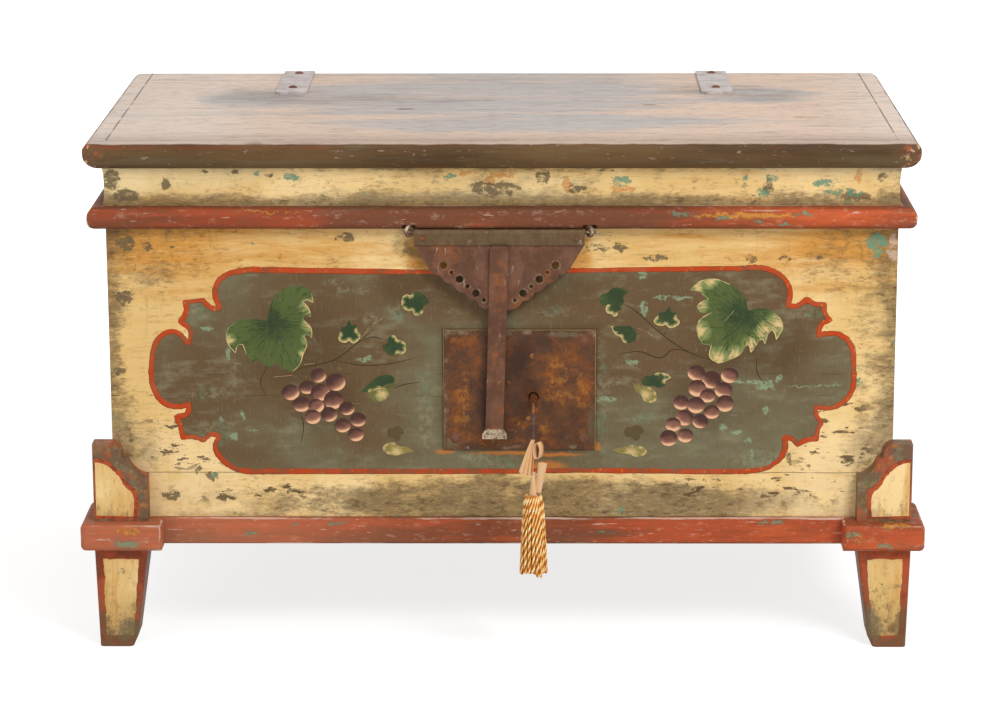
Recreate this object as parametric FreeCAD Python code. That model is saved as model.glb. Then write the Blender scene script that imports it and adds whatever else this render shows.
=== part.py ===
import FreeCAD, Part
import math
import os

# A painted wooden chest on four short legs: a boarded body on a base frame with corner
# blocks and ogee brackets, a lid with a frieze and a moulding, and an iron hasp, lock and key.
# Millimetres, +Z up, the front faces -Y, and X is zero in the middle of the chest.

# Lid slab: planks inside a border of nosed strips
lid_width = 940.0
lid_depth = 500.0
slab_thickness = 31.0
slab_overhang = 20.0
edge_strip_width = 24.0
nose_radius = 10.0
front_corner_radius = 6.0
back_corner_radius = 15.0
rear_plank_depth = 55.0

# Frieze boards under the slab, and the moulding round their lower edge
frieze_height = 66.0
frieze_thickness = 20.0
frieze_hollow = 1.6
bead_height = 25.0
bead_out = 17.0
bead_radius = 10.0
bead_lap = 2.0

# Body boards
body_step = 2.0
body_height = 343.0
board_thickness = 22.0
rebate_depth = 11.0
bottom_thickness = 15.0

# Base frame, corner blocks and legs
leg_height = 120.0
band_height = 32.0
rail_out = 5.0
rail_thickness = 40.0
rail_edge_radius = 3.0
block_out = 31.0
block_length = 93.0
block_edge_radius = 6.0
leg_inset = 14.0
leg_top_size = 62.0
leg_outer_taper = 3.0
leg_inner_taper = 14.5
leg_edge_radius = 5.0
leg_toe_height = 13.0
leg_toe_width = 6.0

# Ogee brackets over the corner blocks
bracket_length = 62.0
bracket_height = 92.0
bracket_thickness = 21.0
bracket_ear_radius = 12.0
bracket_nick_drop = 4.0
bracket_nick_length = 6.0
bracket_nick_fall = 3.0
bracket_inner_height = 52.0
ogee_hollow_share = 0.13
ear_bulge_share = -0.2

# Strap hinges
hinge_place = 259.0
strap_width = 38.0
strap_thickness = 3.0
strap_reach = 165.0
strap_clip = 6.0
strap_nail_insets = (18.0, 128.0)
leaf_length = 64.0
leaf_nail_drops = (24.0, 50.0)
hinge_pin_radius = 3.0
hinge_running_gap = 0.05
knuckle_wall = 3.0
knuckle_gap = 0.4
knuckle_count = 3

# Domed nails and rivets
nail_head_radius = 5.8
nail_head_rise = 2.5
nail_shank_radius = 1.8
nail_shank_length = 15.0
nail_gap = 0.05
rivet_head_radius = 3.0
rivet_head_rise = 1.5
rivet_shank_radius = 1.6

# Lock plate and the lock case let into the front board
plate_width = 173.0
plate_height = 140.0
plate_thickness = 2.0
plate_centre_x = 20.0
plate_rise = 8.0
plate_nail_inset = 13.0
case_width = 108.0
case_height = 94.0
case_centre_x = 30.0
case_rise = 9.0
case_wall = 2.0
case_stand = 2.0
case_clearance = 0.25
case_rivet_places = ((34.7, 48.0), (30.4, -26.0), (18.0, -31.0))

# Bolt, with a notch for the key's bit and two slots that ride on stumps
bolt_rise = 8.5
bolt_height = 16.0
bolt_length = 79.0
bolt_thickness = 4.0
bolt_nose_length = 10.5
bolt_nose_height = 8.5
bolt_throw = 17.0
bolt_end_x = 2.0
bolt_side_gap = 0.3
notch_gap = 0.9
stump_places_x = (7.5, 58.5)
stump_gap = 0.15
stump_head_thickness = 1.2

# Key
key_x = 36.0
key_drop = 200.0
key_shank_radius = 4.5
key_shank_out = 56.0
key_tip_radius = 3.0
key_tip_out = 2.0
key_running_gap = 0.05
key_bit_reach = 13.2
key_bit_thickness = 3.6
key_bit_length = 19.0
key_bit_clearance = 2.6
key_bit_ward_depth = 4.0
key_bit_ward_width = 2.5
key_bow_radius = 12.0
key_bow_wire = 2.2
key_collar_radius = 5.6
key_collar_width = 2.6
keyhole_radius = 6.0
keyhole_gap = 0.9

# Hasp sheet: folded over its pin, pierced, with a scalloped lower edge
hasp_centre_x = -2.5
hasp_width = 192.0
hasp_height = 90.0
hasp_sheet = 1.6
hasp_fold_height = 15.2
hasp_foot_width = 24.0
hasp_shoulder_inset = 15.0
hasp_shoulder_height = 40.0
hasp_scallops = 5
scallop_share = -0.16
hasp_pin_radius = 2.0
hasp_running_gap = 0.1
hasp_pin_drop = 3.0
hasp_pin_back = 4.0
hole_row_outer = (63.5, 38.5)
hole_row_inner = (17.5, 79.0)
hole_pairs = 3
big_hole_radius = 4.3
small_hole_radius = 2.3
strip_rivet_inset = 9.0
strip_rivet_drop = 7.0

# Hasp bar with its crank and flared tip, and the staple that takes the bolt
bar_width = 20.5
bar_thickness = 4.0
bar_length = 216.8
bar_lean = 6.2
bar_top_radius = 4.0
bar_straight_length = 76.0
bar_crank_length = 30.0
bar_crank_depth = 8.0
bar_tip_width = 28.0
bar_tip_length = 9.5
bar_tip_rise = 6.0
staple_thickness = 5.0
staple_wall = 3.0
staple_gap = 0.5

# Eyes that carry the hasp pin
eye_wire = 1.9
eye_radius = 5.4
eye_turn = 35.0
eye_shank_length = 14.0
eye_side_gap = 0.8
eye_seat_gap = 0.3
eye_notch_radius = 8.0
eye_notch_height = 6.0

# Cord, ribbon and tassel that hang from the key's bow
knot_radius = 3.0
knot_gap = 0.3
cord_radius = 1.1
cord_length = 22.2
wing_length = 40.0
wing_width = 15.0
wing_side = 9.0
wing_top_half = 2.2
wing_thickness = 6.0
wing_middle_share = 0.75
roll_radius = 5.2
roll_top = (11.0, 29.0)
roll_bottom = (4.0, 61.0)
roll_back = 1.5
roll_well_share = 0.7
roll_well_depth = 7.0
loop_height = 13.0
loop_middle_across = 6.0
loop_middle_half = 5.4
loop_end_across = 8.0
neck_radius = 5.0
neck_low_radius = 3.0
neck_length = 28.0
skirt_length = 94.3
skirt_top_radius = 9.0
skirt_bottom_radius = 16.5
skirt_cords = 16
skirt_groove_share = 0.14
skirt_level_shares = (0.0, 0.07, 0.5, 1.0)
skirt_spread_shares = (0.0, 0.36, 0.7, 1.0)

# Overrun of every cutting shape
overrun = 10.0

# Levels
base_top = leg_height + band_height
parting = base_top + body_height
slab_bottom = parting + frieze_height
lid_top = slab_bottom + slab_thickness

# Faces, from the slab down to the corner blocks
lid_half = lid_width / 2
lid_front = -lid_depth / 2
lid_back = lid_depth / 2
frieze_half = lid_half - slab_overhang
frieze_front = lid_front + slab_overhang
bead_half = frieze_half + bead_out
bead_front = frieze_front - bead_out
bead_bottom = parting - bead_lap
bead_top = bead_bottom + bead_height
body_half = frieze_half - body_step
body_front = frieze_front + body_step
inner_half = body_half - board_thickness
inner_front = body_front + board_thickness
inner_back = lid_back - board_thickness
rail_half = body_half + rail_out
rail_front = body_front - rail_out
block_half = rail_half + block_out
block_front = rail_front - block_out

# Hinge axis
knuckle_radius = hinge_pin_radius + knuckle_wall
hinge_y = lid_back + knuckle_radius
hinge_z = parting

# Lock
plate_face = body_front - plate_thickness
key_z = parting - key_drop
plate_z = key_z + plate_rise
case_z = key_z + case_rise
case_back = inner_front + case_stand
bolt_front = body_front + bolt_side_gap
bolt_back = bolt_front + bolt_thickness
bolt_bottom = key_z + bolt_rise
bolt_middle = bolt_bottom + bolt_height / 2
bit_back = case_back - case_wall - key_bit_clearance
bow_y = plate_face - key_shank_out - key_bow_radius
bow_front = bow_y - key_bow_radius - key_bow_wire

# Hasp
pin_y = bead_front + hasp_pin_back
pin_z = bead_bottom - hasp_pin_drop
fold_inner = hasp_pin_radius + hasp_running_gap
fold_outer = fold_inner + hasp_sheet
bar_top = pin_z - hasp_fold_height
bar_back = pin_y + fold_inner
bar_low_back = bar_back + bar_crank_depth
staple_end = bolt_back + staple_gap + staple_wall
staple_half = bolt_nose_height / 2 + staple_gap + staple_wall
eye_x = hasp_width / 2 + eye_side_gap + eye_wire + eye_radius * math.sin(math.radians(eye_turn))
eye_z = pin_z - hasp_pin_radius - eye_seat_gap + eye_radius - eye_wire

# Tassel
knot_y = bow_front - knot_gap - knot_radius
cord_top = key_z - knot_radius - knot_gap
ribbon_top = cord_top - cord_length

# The origin stands under the middle of the bounding box
front_most = knot_y - skirt_bottom_radius
back_most = hinge_y + knuckle_radius
origin_y = (front_most + back_most) / 2


def lift(plane, a, b, level):
    """A point of a drawing in the front, side or plan plane, at its distance along the normal."""
    if plane == "front":
        return FreeCAD.Vector(a, level, b)
    if plane == "side":
        return FreeCAD.Vector(level, a, b)
    return FreeCAD.Vector(a, b, level)


def drawing(plane, level, start, *steps):
    """A closed wire; a step is a point for a line, or a pair of points for an arc."""
    edges = []
    here = start
    for step in steps + (start,):
        is_arc = isinstance(step[0], tuple)
        end = step[1] if is_arc else step
        if here != end:
            first = lift(plane, *here, level)
            last = lift(plane, *end, level)
            if is_arc:
                edges.append(Part.Arc(first, lift(plane, *step[0], level), last).toShape())
            else:
                edges.append(Part.LineSegment(first, last).toShape())
        here = end
    return Part.Wire(edges)


def prism(plane, low, high, start, *steps):
    """The drawing pushed from one level to another."""
    face = Part.Face(drawing(plane, low, start, *steps))
    return face.extrude(lift(plane, 0, 0, high - low))


def block(x_low, x_high, y_low, y_high, z_low, z_high):
    corner = FreeCAD.Vector(x_low, y_low, z_low)
    return Part.makeBox(x_high - x_low, y_high - y_low, z_high - z_low, corner)


def rod(plane, a, b, low, high, radius):
    """A cylinder along the plane's normal."""
    start = lift(plane, a, b, low)
    return Part.makeCylinder(radius, high - low, start, lift(plane, 0, 0, 1))


def on_circle(centre, radius, degrees):
    angle = math.radians(degrees)
    return (centre[0] + radius * math.cos(angle), centre[1] + radius * math.sin(angle))


def bulged(first, last, share):
    """The middle of an arc whose rise is a share of its chord, to the left of the way along."""
    across = (first[1] - last[1], last[0] - first[0])
    return ((first[0] + last[0]) / 2 + share * across[0], (first[1] + last[1]) / 2 + share * across[1])


def mirrored(shape):
    return shape.mirror(FreeCAD.Vector(0, 0, 0), FreeCAD.Vector(1, 0, 0))


def rounded(shape, radius, wanted):
    """Round the edges whose middle point passes the test."""
    edges = []
    for edge in shape.Edges:
        if wanted(edge.BoundBox.Center):
            edges.append(edge)
    return shape.makeFillet(radius, edges)


def domed(plane, a, b, face_level, outward, radius, rise):
    """A dome on a face, as a slice of a sphere; outward is +1 or -1 along the normal."""
    sphere_radius = (radius ** 2 + rise ** 2) / (2 * rise)
    centre_level = face_level + outward * (rise - sphere_radius)
    ball = Part.makeSphere(sphere_radius, lift(plane, a, b, centre_level))
    far = face_level + outward * (rise + overrun)
    keep = rod(plane, a, b, min(face_level, far), max(face_level, far), radius + overrun)
    return ball.common(keep)


def nail(plane, a, b, face_level, outward):
    """A domed nail: its head on the face, its shank driven in behind it."""
    deep = face_level - outward * nail_shank_length
    low = min(face_level, deep)
    high = max(face_level, deep)
    shank = rod(plane, a, b, low, high, nail_shank_radius)
    return shank.fuse(domed(plane, a, b, face_level, outward, nail_head_radius, nail_head_rise))


def nail_hole(plane, a, b, face_level, outward):
    deep = face_level - outward * (nail_shank_length + nail_gap)
    top = face_level + outward * overrun
    return rod(plane, a, b, min(deep, top), max(deep, top), nail_shank_radius + nail_gap)


def group(shapes):
    return Part.makeCompound(shapes)


def save(name, shape):
    shape.translate(FreeCAD.Vector(0, -origin_y, 0))
    shape.exportStep("parts/" + name + ".step")


# Lid

def slab_plan():
    """The slab seen from above, with its four rounded corners."""
    front = front_corner_radius
    back = back_corner_radius
    front_left = (-lid_half + front, lid_front + front)
    front_right = (lid_half - front, lid_front + front)
    back_right = (lid_half - back, lid_back - back)
    back_left = (-lid_half + back, lid_back - back)
    return prism(
        "plan", slab_bottom, lid_top,
        (front_left[0], lid_front),
        (front_right[0], lid_front),
        (on_circle(front_right, front, -45), (lid_half, front_right[1])),
        (lid_half, back_right[1]),
        (on_circle(back_right, back, 45), (back_right[0], lid_back)),
        (back_left[0], lid_back),
        (on_circle(back_left, back, 135), (-lid_half, back_left[1])),
        (-lid_half, front_left[1]),
        (on_circle(front_left, front, 225), (front_left[0], lid_front)),
    )


def nosed_strip(plane, low, high, face):
    """The border strip: a small nose on top and a large round under it, drawn outwards from 0."""
    sign = -1 if face < 0 else 1
    under = slab_thickness - nose_radius
    nose = (face - sign * nose_radius, lid_top - nose_radius)
    ovolo = (face - sign * under, slab_bottom + under)
    top_angle = 90 + 45 * -sign
    low_angle = 270 + 45 * sign
    inner = face - sign * edge_strip_width
    return prism(
        plane, low, high,
        (inner, lid_top),
        (nose[0], lid_top),
        (on_circle(nose, nose_radius, top_angle), (face, nose[1])),
        (on_circle(ovolo, under, low_angle), (ovolo[0], slab_bottom)),
        (inner, slab_bottom),
    )


def mitre_front(half, front, width, low, high):
    """The plan of a front strip, mitred at both ends."""
    return prism("plan", low, high, (-half, front), (half, front),
                 (half - width, front + width), (-half + width, front + width))


def mitre_left(half, front, width, back, low, high):
    """The plan of a left strip, mitred at the front."""
    return prism("plan", low, high, (-half, front), (-half + width, front + width),
                 (-half + width, back), (-half, back))


def lid_edges():
    plan = slab_plan()
    front = nosed_strip("side", -lid_half, lid_half, lid_front)
    front = front.common(mitre_front(lid_half, lid_front, edge_strip_width, slab_bottom, lid_top))
    left = nosed_strip("front", lid_front, lid_back, -lid_half)
    left = left.common(mitre_left(lid_half, lid_front, edge_strip_width, lid_back, slab_bottom, lid_top))
    left = left.common(plan)
    save("lid_edge_front", front.common(plan))
    save("lid_edge_left", left.copy())
    save("lid_edge_right", mirrored(left))


def lid_planks():
    half = lid_half - edge_strip_width
    seam = lid_back - rear_plank_depth
    front = block(-half, half, lid_front + edge_strip_width, seam, slab_bottom, lid_top)
    rear = block(-half, half, seam, lid_back, slab_bottom, lid_top)
    for x in (-hinge_place, hinge_place):
        for y, is_rear in strap_nail_places():
            hole = nail_hole("plan", x, y, lid_top + strap_thickness, 1)
            if is_rear:
                rear = rear.cut(hole)
            else:
                front = front.cut(hole)
    save("lid_plank_front", front)
    save("lid_plank_rear", rear)


def frieze_profile(plane, low, high, face):
    """A frieze board with a slight hollow between the moulding and the slab."""
    sign = -1 if face < 0 else 1
    inner = face - sign * frieze_thickness
    middle = (face - sign * frieze_hollow, (bead_top + slab_bottom) / 2)
    return prism(plane, low, high, (inner, parting), (face, parting), (face, bead_top),
                 (middle, (face, slab_bottom)), (inner, slab_bottom))


def lid_frieze():
    back_face = lid_back - frieze_thickness
    front = frieze_profile("side", -frieze_half, frieze_half, frieze_front)
    plan = mitre_front(frieze_half, frieze_front, frieze_thickness, parting, slab_bottom)
    save("lid_frieze_front", front.common(plan))
    left = frieze_profile("front", frieze_front, back_face, -frieze_half)
    plan = mitre_left(frieze_half, frieze_front, frieze_thickness, back_face, parting, slab_bottom)
    left = left.common(plan)
    save("lid_frieze_left", left.copy())
    save("lid_frieze_right", mirrored(left))
    back = block(-frieze_half, frieze_half, back_face, lid_back, parting, slab_bottom)
    save("lid_frieze_back", back)


def bead_profile(plane, low, high, face):
    """The moulding, rounded at its top and bottom."""
    sign = -1 if face < 0 else 1
    inner = face - sign * bead_out
    top = (face - sign * bead_radius, bead_top - bead_radius)
    foot = (face - sign * bead_radius, bead_bottom + bead_radius)
    return prism(
        plane, low, high,
        (inner, bead_bottom), (inner, bead_top), (top[0], bead_top),
        (on_circle(top, bead_radius, 90 - 45 * sign), (face, top[1])),
        (face, foot[1]),
        (on_circle(foot, bead_radius, 270 + 45 * sign), (foot[0], bead_bottom)),
    )


def lid_beads():
    front = bead_profile("side", -bead_half, bead_half, bead_front)
    front = front.common(mitre_front(bead_half, bead_front, bead_out, bead_bottom, bead_top))
    for x in (hasp_centre_x - eye_x, hasp_centre_x + eye_x):
        notch_top = bead_bottom + eye_notch_height
        front = front.cut(rod("plan", x, pin_y, bead_bottom - overrun, notch_top, eye_notch_radius))
        bore_top = eye_z + eye_shank_length + nail_gap
        front = front.cut(rod("plan", x, pin_y, bead_bottom, bore_top, eye_wire + nail_gap))
    save("lid_bead_front", front)
    left = bead_profile("front", bead_front, lid_back, -bead_half)
    left = left.common(mitre_left(bead_half, bead_front, bead_out, lid_back, bead_bottom, bead_top))
    save("lid_bead_left", left.copy())
    save("lid_bead_right", mirrored(left))


# Strap hinges

def strap_nail_places():
    """Where the strap's nails are driven, and whether each meets the rear plank."""
    seam = lid_back - rear_plank_depth
    places = []
    for inset in strap_nail_insets:
        y = lid_back - inset
        places.append((y, y > seam))
    return places


def leaf_nail_places():
    return [parting - drop for drop in leaf_nail_drops]


def knuckle(x_low, x_high):
    return rod("side", hinge_y, hinge_z, x_low, x_high, knuckle_radius)


def hinge_strap(x):
    """The strap lies on the slab, bends down its back and ends in the middle knuckle."""
    low = x - strap_width / 2
    high = x + strap_width / 2
    back = lid_back + strap_thickness
    top = lid_top + strap_thickness
    bend = (lid_back, lid_top)
    shape = prism(
        "side", low, high,
        (lid_back - strap_reach, lid_top),
        (lid_back, lid_top),
        (lid_back, hinge_z),
        (back, hinge_z),
        (back, lid_top),
        (on_circle(bend, strap_thickness, 45), (lid_back, top)),
        (lid_back - strap_reach, top),
    )
    half_knuckle = strap_width / knuckle_count / 2 - knuckle_gap / 2
    shape = shape.fuse(knuckle(x - half_knuckle, x + half_knuckle))
    shape = shape.cut(rod("side", hinge_y, hinge_z, low, high, hinge_pin_radius + hinge_running_gap))
    clear = hinge_z + knuckle_radius + knuckle_gap
    shape = shape.cut(block(low, x - half_knuckle, lid_back, back, hinge_z, clear))
    shape = shape.cut(block(x + half_knuckle, high, lid_back, back, hinge_z, clear))
    for y, _ in strap_nail_places():
        shape = shape.cut(nail_hole("plan", x, y, lid_top + strap_thickness, 1))
    tip = lid_back - strap_reach
    for side in (-1, 1):
        edge = x + side * strap_width / 2
        corner = prism("plan", lid_top, top, (edge, tip), (edge - side * strap_clip, tip),
                       (edge, tip + strap_clip))
        shape = shape.cut(corner)
    return shape


def hinge_leaf(x):
    """The leaf on the back board, with the two outer knuckles."""
    low = x - strap_width / 2
    high = x + strap_width / 2
    back = lid_back + strap_thickness
    shape = block(low, high, lid_back, back, hinge_z - leaf_length, hinge_z)
    half_knuckle = strap_width / knuckle_count / 2 + knuckle_gap / 2
    shape = shape.fuse(knuckle(low, x - half_knuckle)).fuse(knuckle(x + half_knuckle, high))
    clear = hinge_z - knuckle_radius - knuckle_gap
    shape = shape.cut(block(x - half_knuckle, x + half_knuckle, lid_back, back, clear, hinge_z))
    shape = shape.cut(rod("side", hinge_y, hinge_z, low, high, hinge_pin_radius + hinge_running_gap))
    for z in leaf_nail_places():
        shape = shape.cut(nail_hole("front", x, z, lid_back + strap_thickness, 1))
    return shape


def hinges():
    strap_face = lid_top + strap_thickness
    leaf_face = lid_back + strap_thickness
    strap_nails = []
    leaf_nails = []
    pins = []
    for side, x in (("left", -hinge_place), ("right", hinge_place)):
        save(side + "_hinge_strap", hinge_strap(x))
        save(side + "_hinge_leaf", hinge_leaf(x))
        for y, _ in strap_nail_places():
            strap_nails.append(nail("plan", x, y, strap_face, 1))
        for z in leaf_nail_places():
            leaf_nails.append(nail("front", x, z, leaf_face, 1))
        low = x - strap_width / 2
        pins.append(rod("side", hinge_y, hinge_z, low, x + strap_width / 2, hinge_pin_radius))
    save("hinge_strap_nails", group(strap_nails))
    save("hinge_leaf_nails", group(leaf_nails))
    save("hinge_pins", group(pins))


# Body

def case_outline(margin, low, high):
    """The lock case's outline, pushed between two levels."""
    half_width = case_width / 2 + margin
    half_height = case_height / 2 + margin
    return block(case_centre_x - half_width, case_centre_x + half_width, low, high,
                 case_z - half_height, case_z + half_height)


def plate_nail_places():
    half_width = plate_width / 2 - plate_nail_inset
    half_height = plate_height / 2 - plate_nail_inset
    places = []
    for x in (plate_centre_x - half_width, plate_centre_x + half_width):
        for z in (plate_z - half_height, plate_z + half_height):
            places.append((x, z))
    return places


def body_boards():
    front = block(-body_half, body_half, body_front, inner_front, base_top, parting)
    back = block(-body_half, body_half, inner_back, lid_back, base_top, parting)
    for side in (-1, 1):
        low = min(side * inner_half, side * (body_half + overrun))
        high = max(side * inner_half, side * (body_half + overrun))
        rebate = block(low, high, body_front + rebate_depth, lid_back - rebate_depth, base_top, parting)
        front = front.cut(rebate)
        back = back.cut(rebate)
    front = front.cut(case_outline(case_clearance, body_front, inner_front))
    for x, z in plate_nail_places():
        front = front.cut(nail_hole("front", x, z, plate_face, -1))
    for x in (-hinge_place, hinge_place):
        for z in leaf_nail_places():
            back = back.cut(nail_hole("front", x, z, lid_back + strap_thickness, 1))
    save("front_board", front)
    save("back_board", back)
    left = block(-body_half, -inner_half, body_front + rebate_depth, lid_back - rebate_depth,
                 base_top, parting)
    save("left_side_board", left.copy())
    save("right_side_board", mirrored(left))


def bottom_planks():
    seam = (inner_front + inner_back) / 2
    top = base_top + bottom_thickness
    save("bottom_plank_front", block(-inner_half, inner_half, inner_front, seam, base_top, top))
    save("bottom_plank_rear", block(-inner_half, inner_half, seam, inner_back, base_top, top))


def rail_profile(plane, low, high, face):
    """A base rail, with its outer edges eased."""
    sign = -1 if face < 0 else 1
    inner = face - sign * rail_thickness
    top = (face - sign * rail_edge_radius, base_top - rail_edge_radius)
    foot = (face - sign * rail_edge_radius, leg_height + rail_edge_radius)
    return prism(
        plane, low, high,
        (inner, leg_height), (inner, base_top), (top[0], base_top),
        (on_circle(top, rail_edge_radius, 90 - 45 * sign), (face, top[1])),
        (face, foot[1]),
        (on_circle(foot, rail_edge_radius, 270 + 45 * sign), (foot[0], leg_height)),
    )


def base_rails():
    back_face = lid_back - rail_thickness
    front = rail_profile("side", -rail_half, rail_half, rail_front)
    front = front.common(mitre_front(rail_half, rail_front, rail_thickness, leg_height, base_top))
    save("base_rail_front", front)
    left = rail_profile("front", rail_front, back_face, -rail_half)
    plan = mitre_left(rail_half, rail_front, rail_thickness, back_face, leg_height, base_top)
    left = left.common(plan)
    save("base_rail_left", left.copy())
    save("base_rail_right", mirrored(left))
    back = block(-rail_half, rail_half, back_face, lid_back, leg_height, base_top)
    save("base_rail_back", back)


def front_corner_block():
    """An angle-shaped block that wraps the base frame's front left corner."""
    tip_x = -block_half + block_length
    tip_y = block_front + block_length
    shape = prism("plan", leg_height, base_top, (-block_half, block_front), (tip_x, block_front),
                  (tip_x, rail_front), (-rail_half, rail_front), (-rail_half, tip_y), (-block_half, tip_y))
    near = block_edge_radius
    return rounded(shape, block_edge_radius,
                   lambda p: p.x < near - block_half or p.y < near + block_front)


def rear_corner_block():
    """The rear block stays on the side, because the back is plain."""
    shape = block(-block_half, -rail_half, lid_back - block_length, lid_back, leg_height, base_top)
    return rounded(shape, block_edge_radius, lambda p: p.x < block_edge_radius - block_half)


def corner_blocks():
    front = front_corner_block()
    rear = rear_corner_block()
    save("front_left_corner_block", front.copy())
    save("front_right_corner_block", mirrored(front))
    save("rear_left_corner_block", rear.copy())
    save("rear_right_corner_block", mirrored(rear))


def leg(outer_x, outer_y, way):
    """A tapered leg, where its front and side views meet; way is +1 in front and -1 at the rear."""
    inner_x = outer_x + leg_top_size
    inner_y = outer_y + way * leg_top_size
    heel_x = inner_x - leg_inner_taper
    heel_y = inner_y - way * leg_inner_taper
    front = prism("front", min(outer_y, inner_y), max(outer_y, inner_y),
                  (outer_x, leg_height), (inner_x, leg_height), (heel_x, leg_toe_height),
                  (heel_x - leg_toe_width, 0), (outer_x + leg_outer_taper, 0))
    side = prism("side", outer_x, inner_x,
                 (outer_y, leg_height), (inner_y, leg_height), (heel_y, leg_toe_height),
                 (heel_y - way * leg_toe_width, 0), (outer_y + way * leg_outer_taper, 0))
    shape = front.common(side)
    return rounded(shape, leg_edge_radius,
                   lambda p: leg_edge_radius < p.z < leg_height - leg_edge_radius)


def legs():
    outer_x = -block_half + leg_inset
    front = leg(outer_x, block_front + leg_inset, 1)
    rear = leg(outer_x, lid_back, -1)
    save("front_left_leg", front.copy())
    save("front_right_leg", mirrored(front))
    save("rear_left_leg", rear.copy())
    save("rear_right_leg", mirrored(rear))


def ogee_board(plane, corner, way, low, high):
    """A bracket board: a flat ear, a nick and a hollow that runs down to a straight end."""
    def place(along, height):
        return (corner + way * along, base_top + height)

    ear = bracket_thickness + bracket_ear_radius
    ear_top = place(bracket_thickness, bracket_height)
    ear_side = place(ear, bracket_height - bracket_ear_radius)
    nick = place(ear, bracket_height - bracket_ear_radius - bracket_nick_drop)
    nick_fall = bracket_nick_drop + bracket_nick_fall
    hollow_top = place(ear + bracket_nick_length, bracket_height - bracket_ear_radius - nick_fall)
    hollow_end = place(bracket_length, bracket_inner_height)
    return prism(
        plane, low, high,
        place(0, 0), place(0, bracket_height), ear_top,
        (bulged(ear_top, ear_side, -way * ear_bulge_share), ear_side),
        nick, hollow_top,
        (bulged(hollow_top, hollow_end, -way * ogee_hollow_share), hollow_end),
        place(bracket_length, 0),
    )


def brackets():
    corner_x = -body_half - bracket_thickness
    corner_y = body_front - bracket_thickness
    top = base_top + bracket_height
    tip_x = corner_x + bracket_length
    tip_y = corner_y + bracket_length
    front = ogee_board("front", corner_x, 1, corner_y, body_front)
    plan = prism("plan", base_top, top, (corner_x, corner_y), (tip_x, corner_y),
                 (tip_x, body_front), (-body_half, body_front))
    front = front.common(plan)
    side = ogee_board("side", corner_y, 1, corner_x, -body_half)
    plan = prism("plan", base_top, top, (corner_x, corner_y), (-body_half, body_front),
                 (-body_half, tip_y), (corner_x, tip_y))
    side = side.common(plan)
    rear = ogee_board("side", lid_back, -1, corner_x, -body_half)
    save("left_bracket_front", front.copy())
    save("right_bracket_front", mirrored(front))
    save("left_bracket_side", side.copy())
    save("right_bracket_side", mirrored(side))
    save("rear_left_bracket", rear.copy())
    save("rear_right_bracket", mirrored(rear))


# Lock

def keyhole():
    """A round hole with a slot below it for the bit."""
    half_slot = key_bit_thickness / 2 + keyhole_gap
    low = plate_face - overrun
    high = body_front + overrun
    hole = rod("front", key_x, key_z, low, high, keyhole_radius)
    slot = block(key_x - half_slot, key_x + half_slot, low, high,
                 key_z - key_bit_reach - keyhole_gap, key_z)
    return hole.fuse(slot)


def staple_slot():
    """As tall as the staple needs, both as the hasp swings and as it leaves with the lid."""
    depth = staple_end - plate_face
    top = bolt_middle + staple_half
    bottom = bolt_middle - staple_half
    rise = depth * (hinge_y - staple_end) / (hinge_z - top)
    drop = depth * (staple_end - pin_y) / (pin_z - bottom)
    half = staple_thickness / 2 + staple_gap
    x = bar_centre(bolt_middle)
    return block(x - half, x + half, plate_face - overrun, body_front + overrun,
                 bottom - drop - staple_gap, top + rise + staple_gap)


def case_rivet_spots():
    return [(x, key_z + rise) for x, rise in case_rivet_places]


def lock_plate():
    half_width = plate_width / 2
    half_height = plate_height / 2
    plate = block(plate_centre_x - half_width, plate_centre_x + half_width, plate_face, body_front,
                  plate_z - half_height, plate_z + half_height)
    plate = plate.cut(keyhole()).cut(staple_slot())
    for x, z in plate_nail_places():
        plate = plate.cut(nail_hole("front", x, z, plate_face, -1))
    spots = case_rivet_spots() + [(x, bolt_middle) for x in stump_places_x]
    for x, z in spots:
        plate = plate.cut(rod("front", x, z, plate_face, body_front, rivet_shank_radius + nail_gap))
    save("lock_plate", plate)
    nails = [nail("front", x, z, plate_face, -1) for x, z in plate_nail_places()]
    save("lock_plate_nails", group(nails))


def lock_case():
    """A shallow iron tray behind the plate, open to the front."""
    case = case_outline(0, body_front, case_back)
    case = case.cut(case_outline(-case_wall, body_front, case_back - case_wall))
    hole = key_tip_radius + key_running_gap
    case = case.cut(rod("front", key_x, key_z, body_front, case_back, hole))
    for x, z in case_rivet_spots():
        case = case.cut(rod("front", x, z, body_front, case_back, rivet_shank_radius + nail_gap))
    save("lock_case", case)


def lock_rivets():
    """Three rivets hold the case, and two stumps with flat heads guide the bolt."""
    solids = []
    for x, z in case_rivet_spots():
        shank = rod("front", x, z, plate_face, case_back, rivet_shank_radius)
        head = domed("front", x, z, plate_face, -1, rivet_head_radius, rivet_head_rise)
        solids.append(shank.fuse(head))
    for x in stump_places_x:
        retainer = bolt_back + bolt_side_gap
        shank = rod("front", x, bolt_middle, plate_face, retainer, rivet_shank_radius)
        head = domed("front", x, bolt_middle, plate_face, -1, rivet_head_radius, rivet_head_rise)
        end = rod("front", x, bolt_middle, retainer, retainer + stump_head_thickness, rivet_head_radius)
        solids.append(shank.fuse(head).fuse(end))
    save("lock_rivets", group(solids))


def notch_sides():
    """Where the bolt is cut away, so that the bit passes while the bolt runs at a steady rate."""
    half_turn = math.acos(bolt_rise / key_bit_reach)
    reach = key_bit_reach * math.sin(half_turn)
    gap = key_bit_thickness / 2 + notch_gap
    early = bolt_throw * (math.pi - half_turn) / (2 * math.pi)
    late = bolt_throw * (math.pi + half_turn) / (2 * math.pi)
    return (key_x - reach + late - gap, key_x + reach + early + gap)


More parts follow.
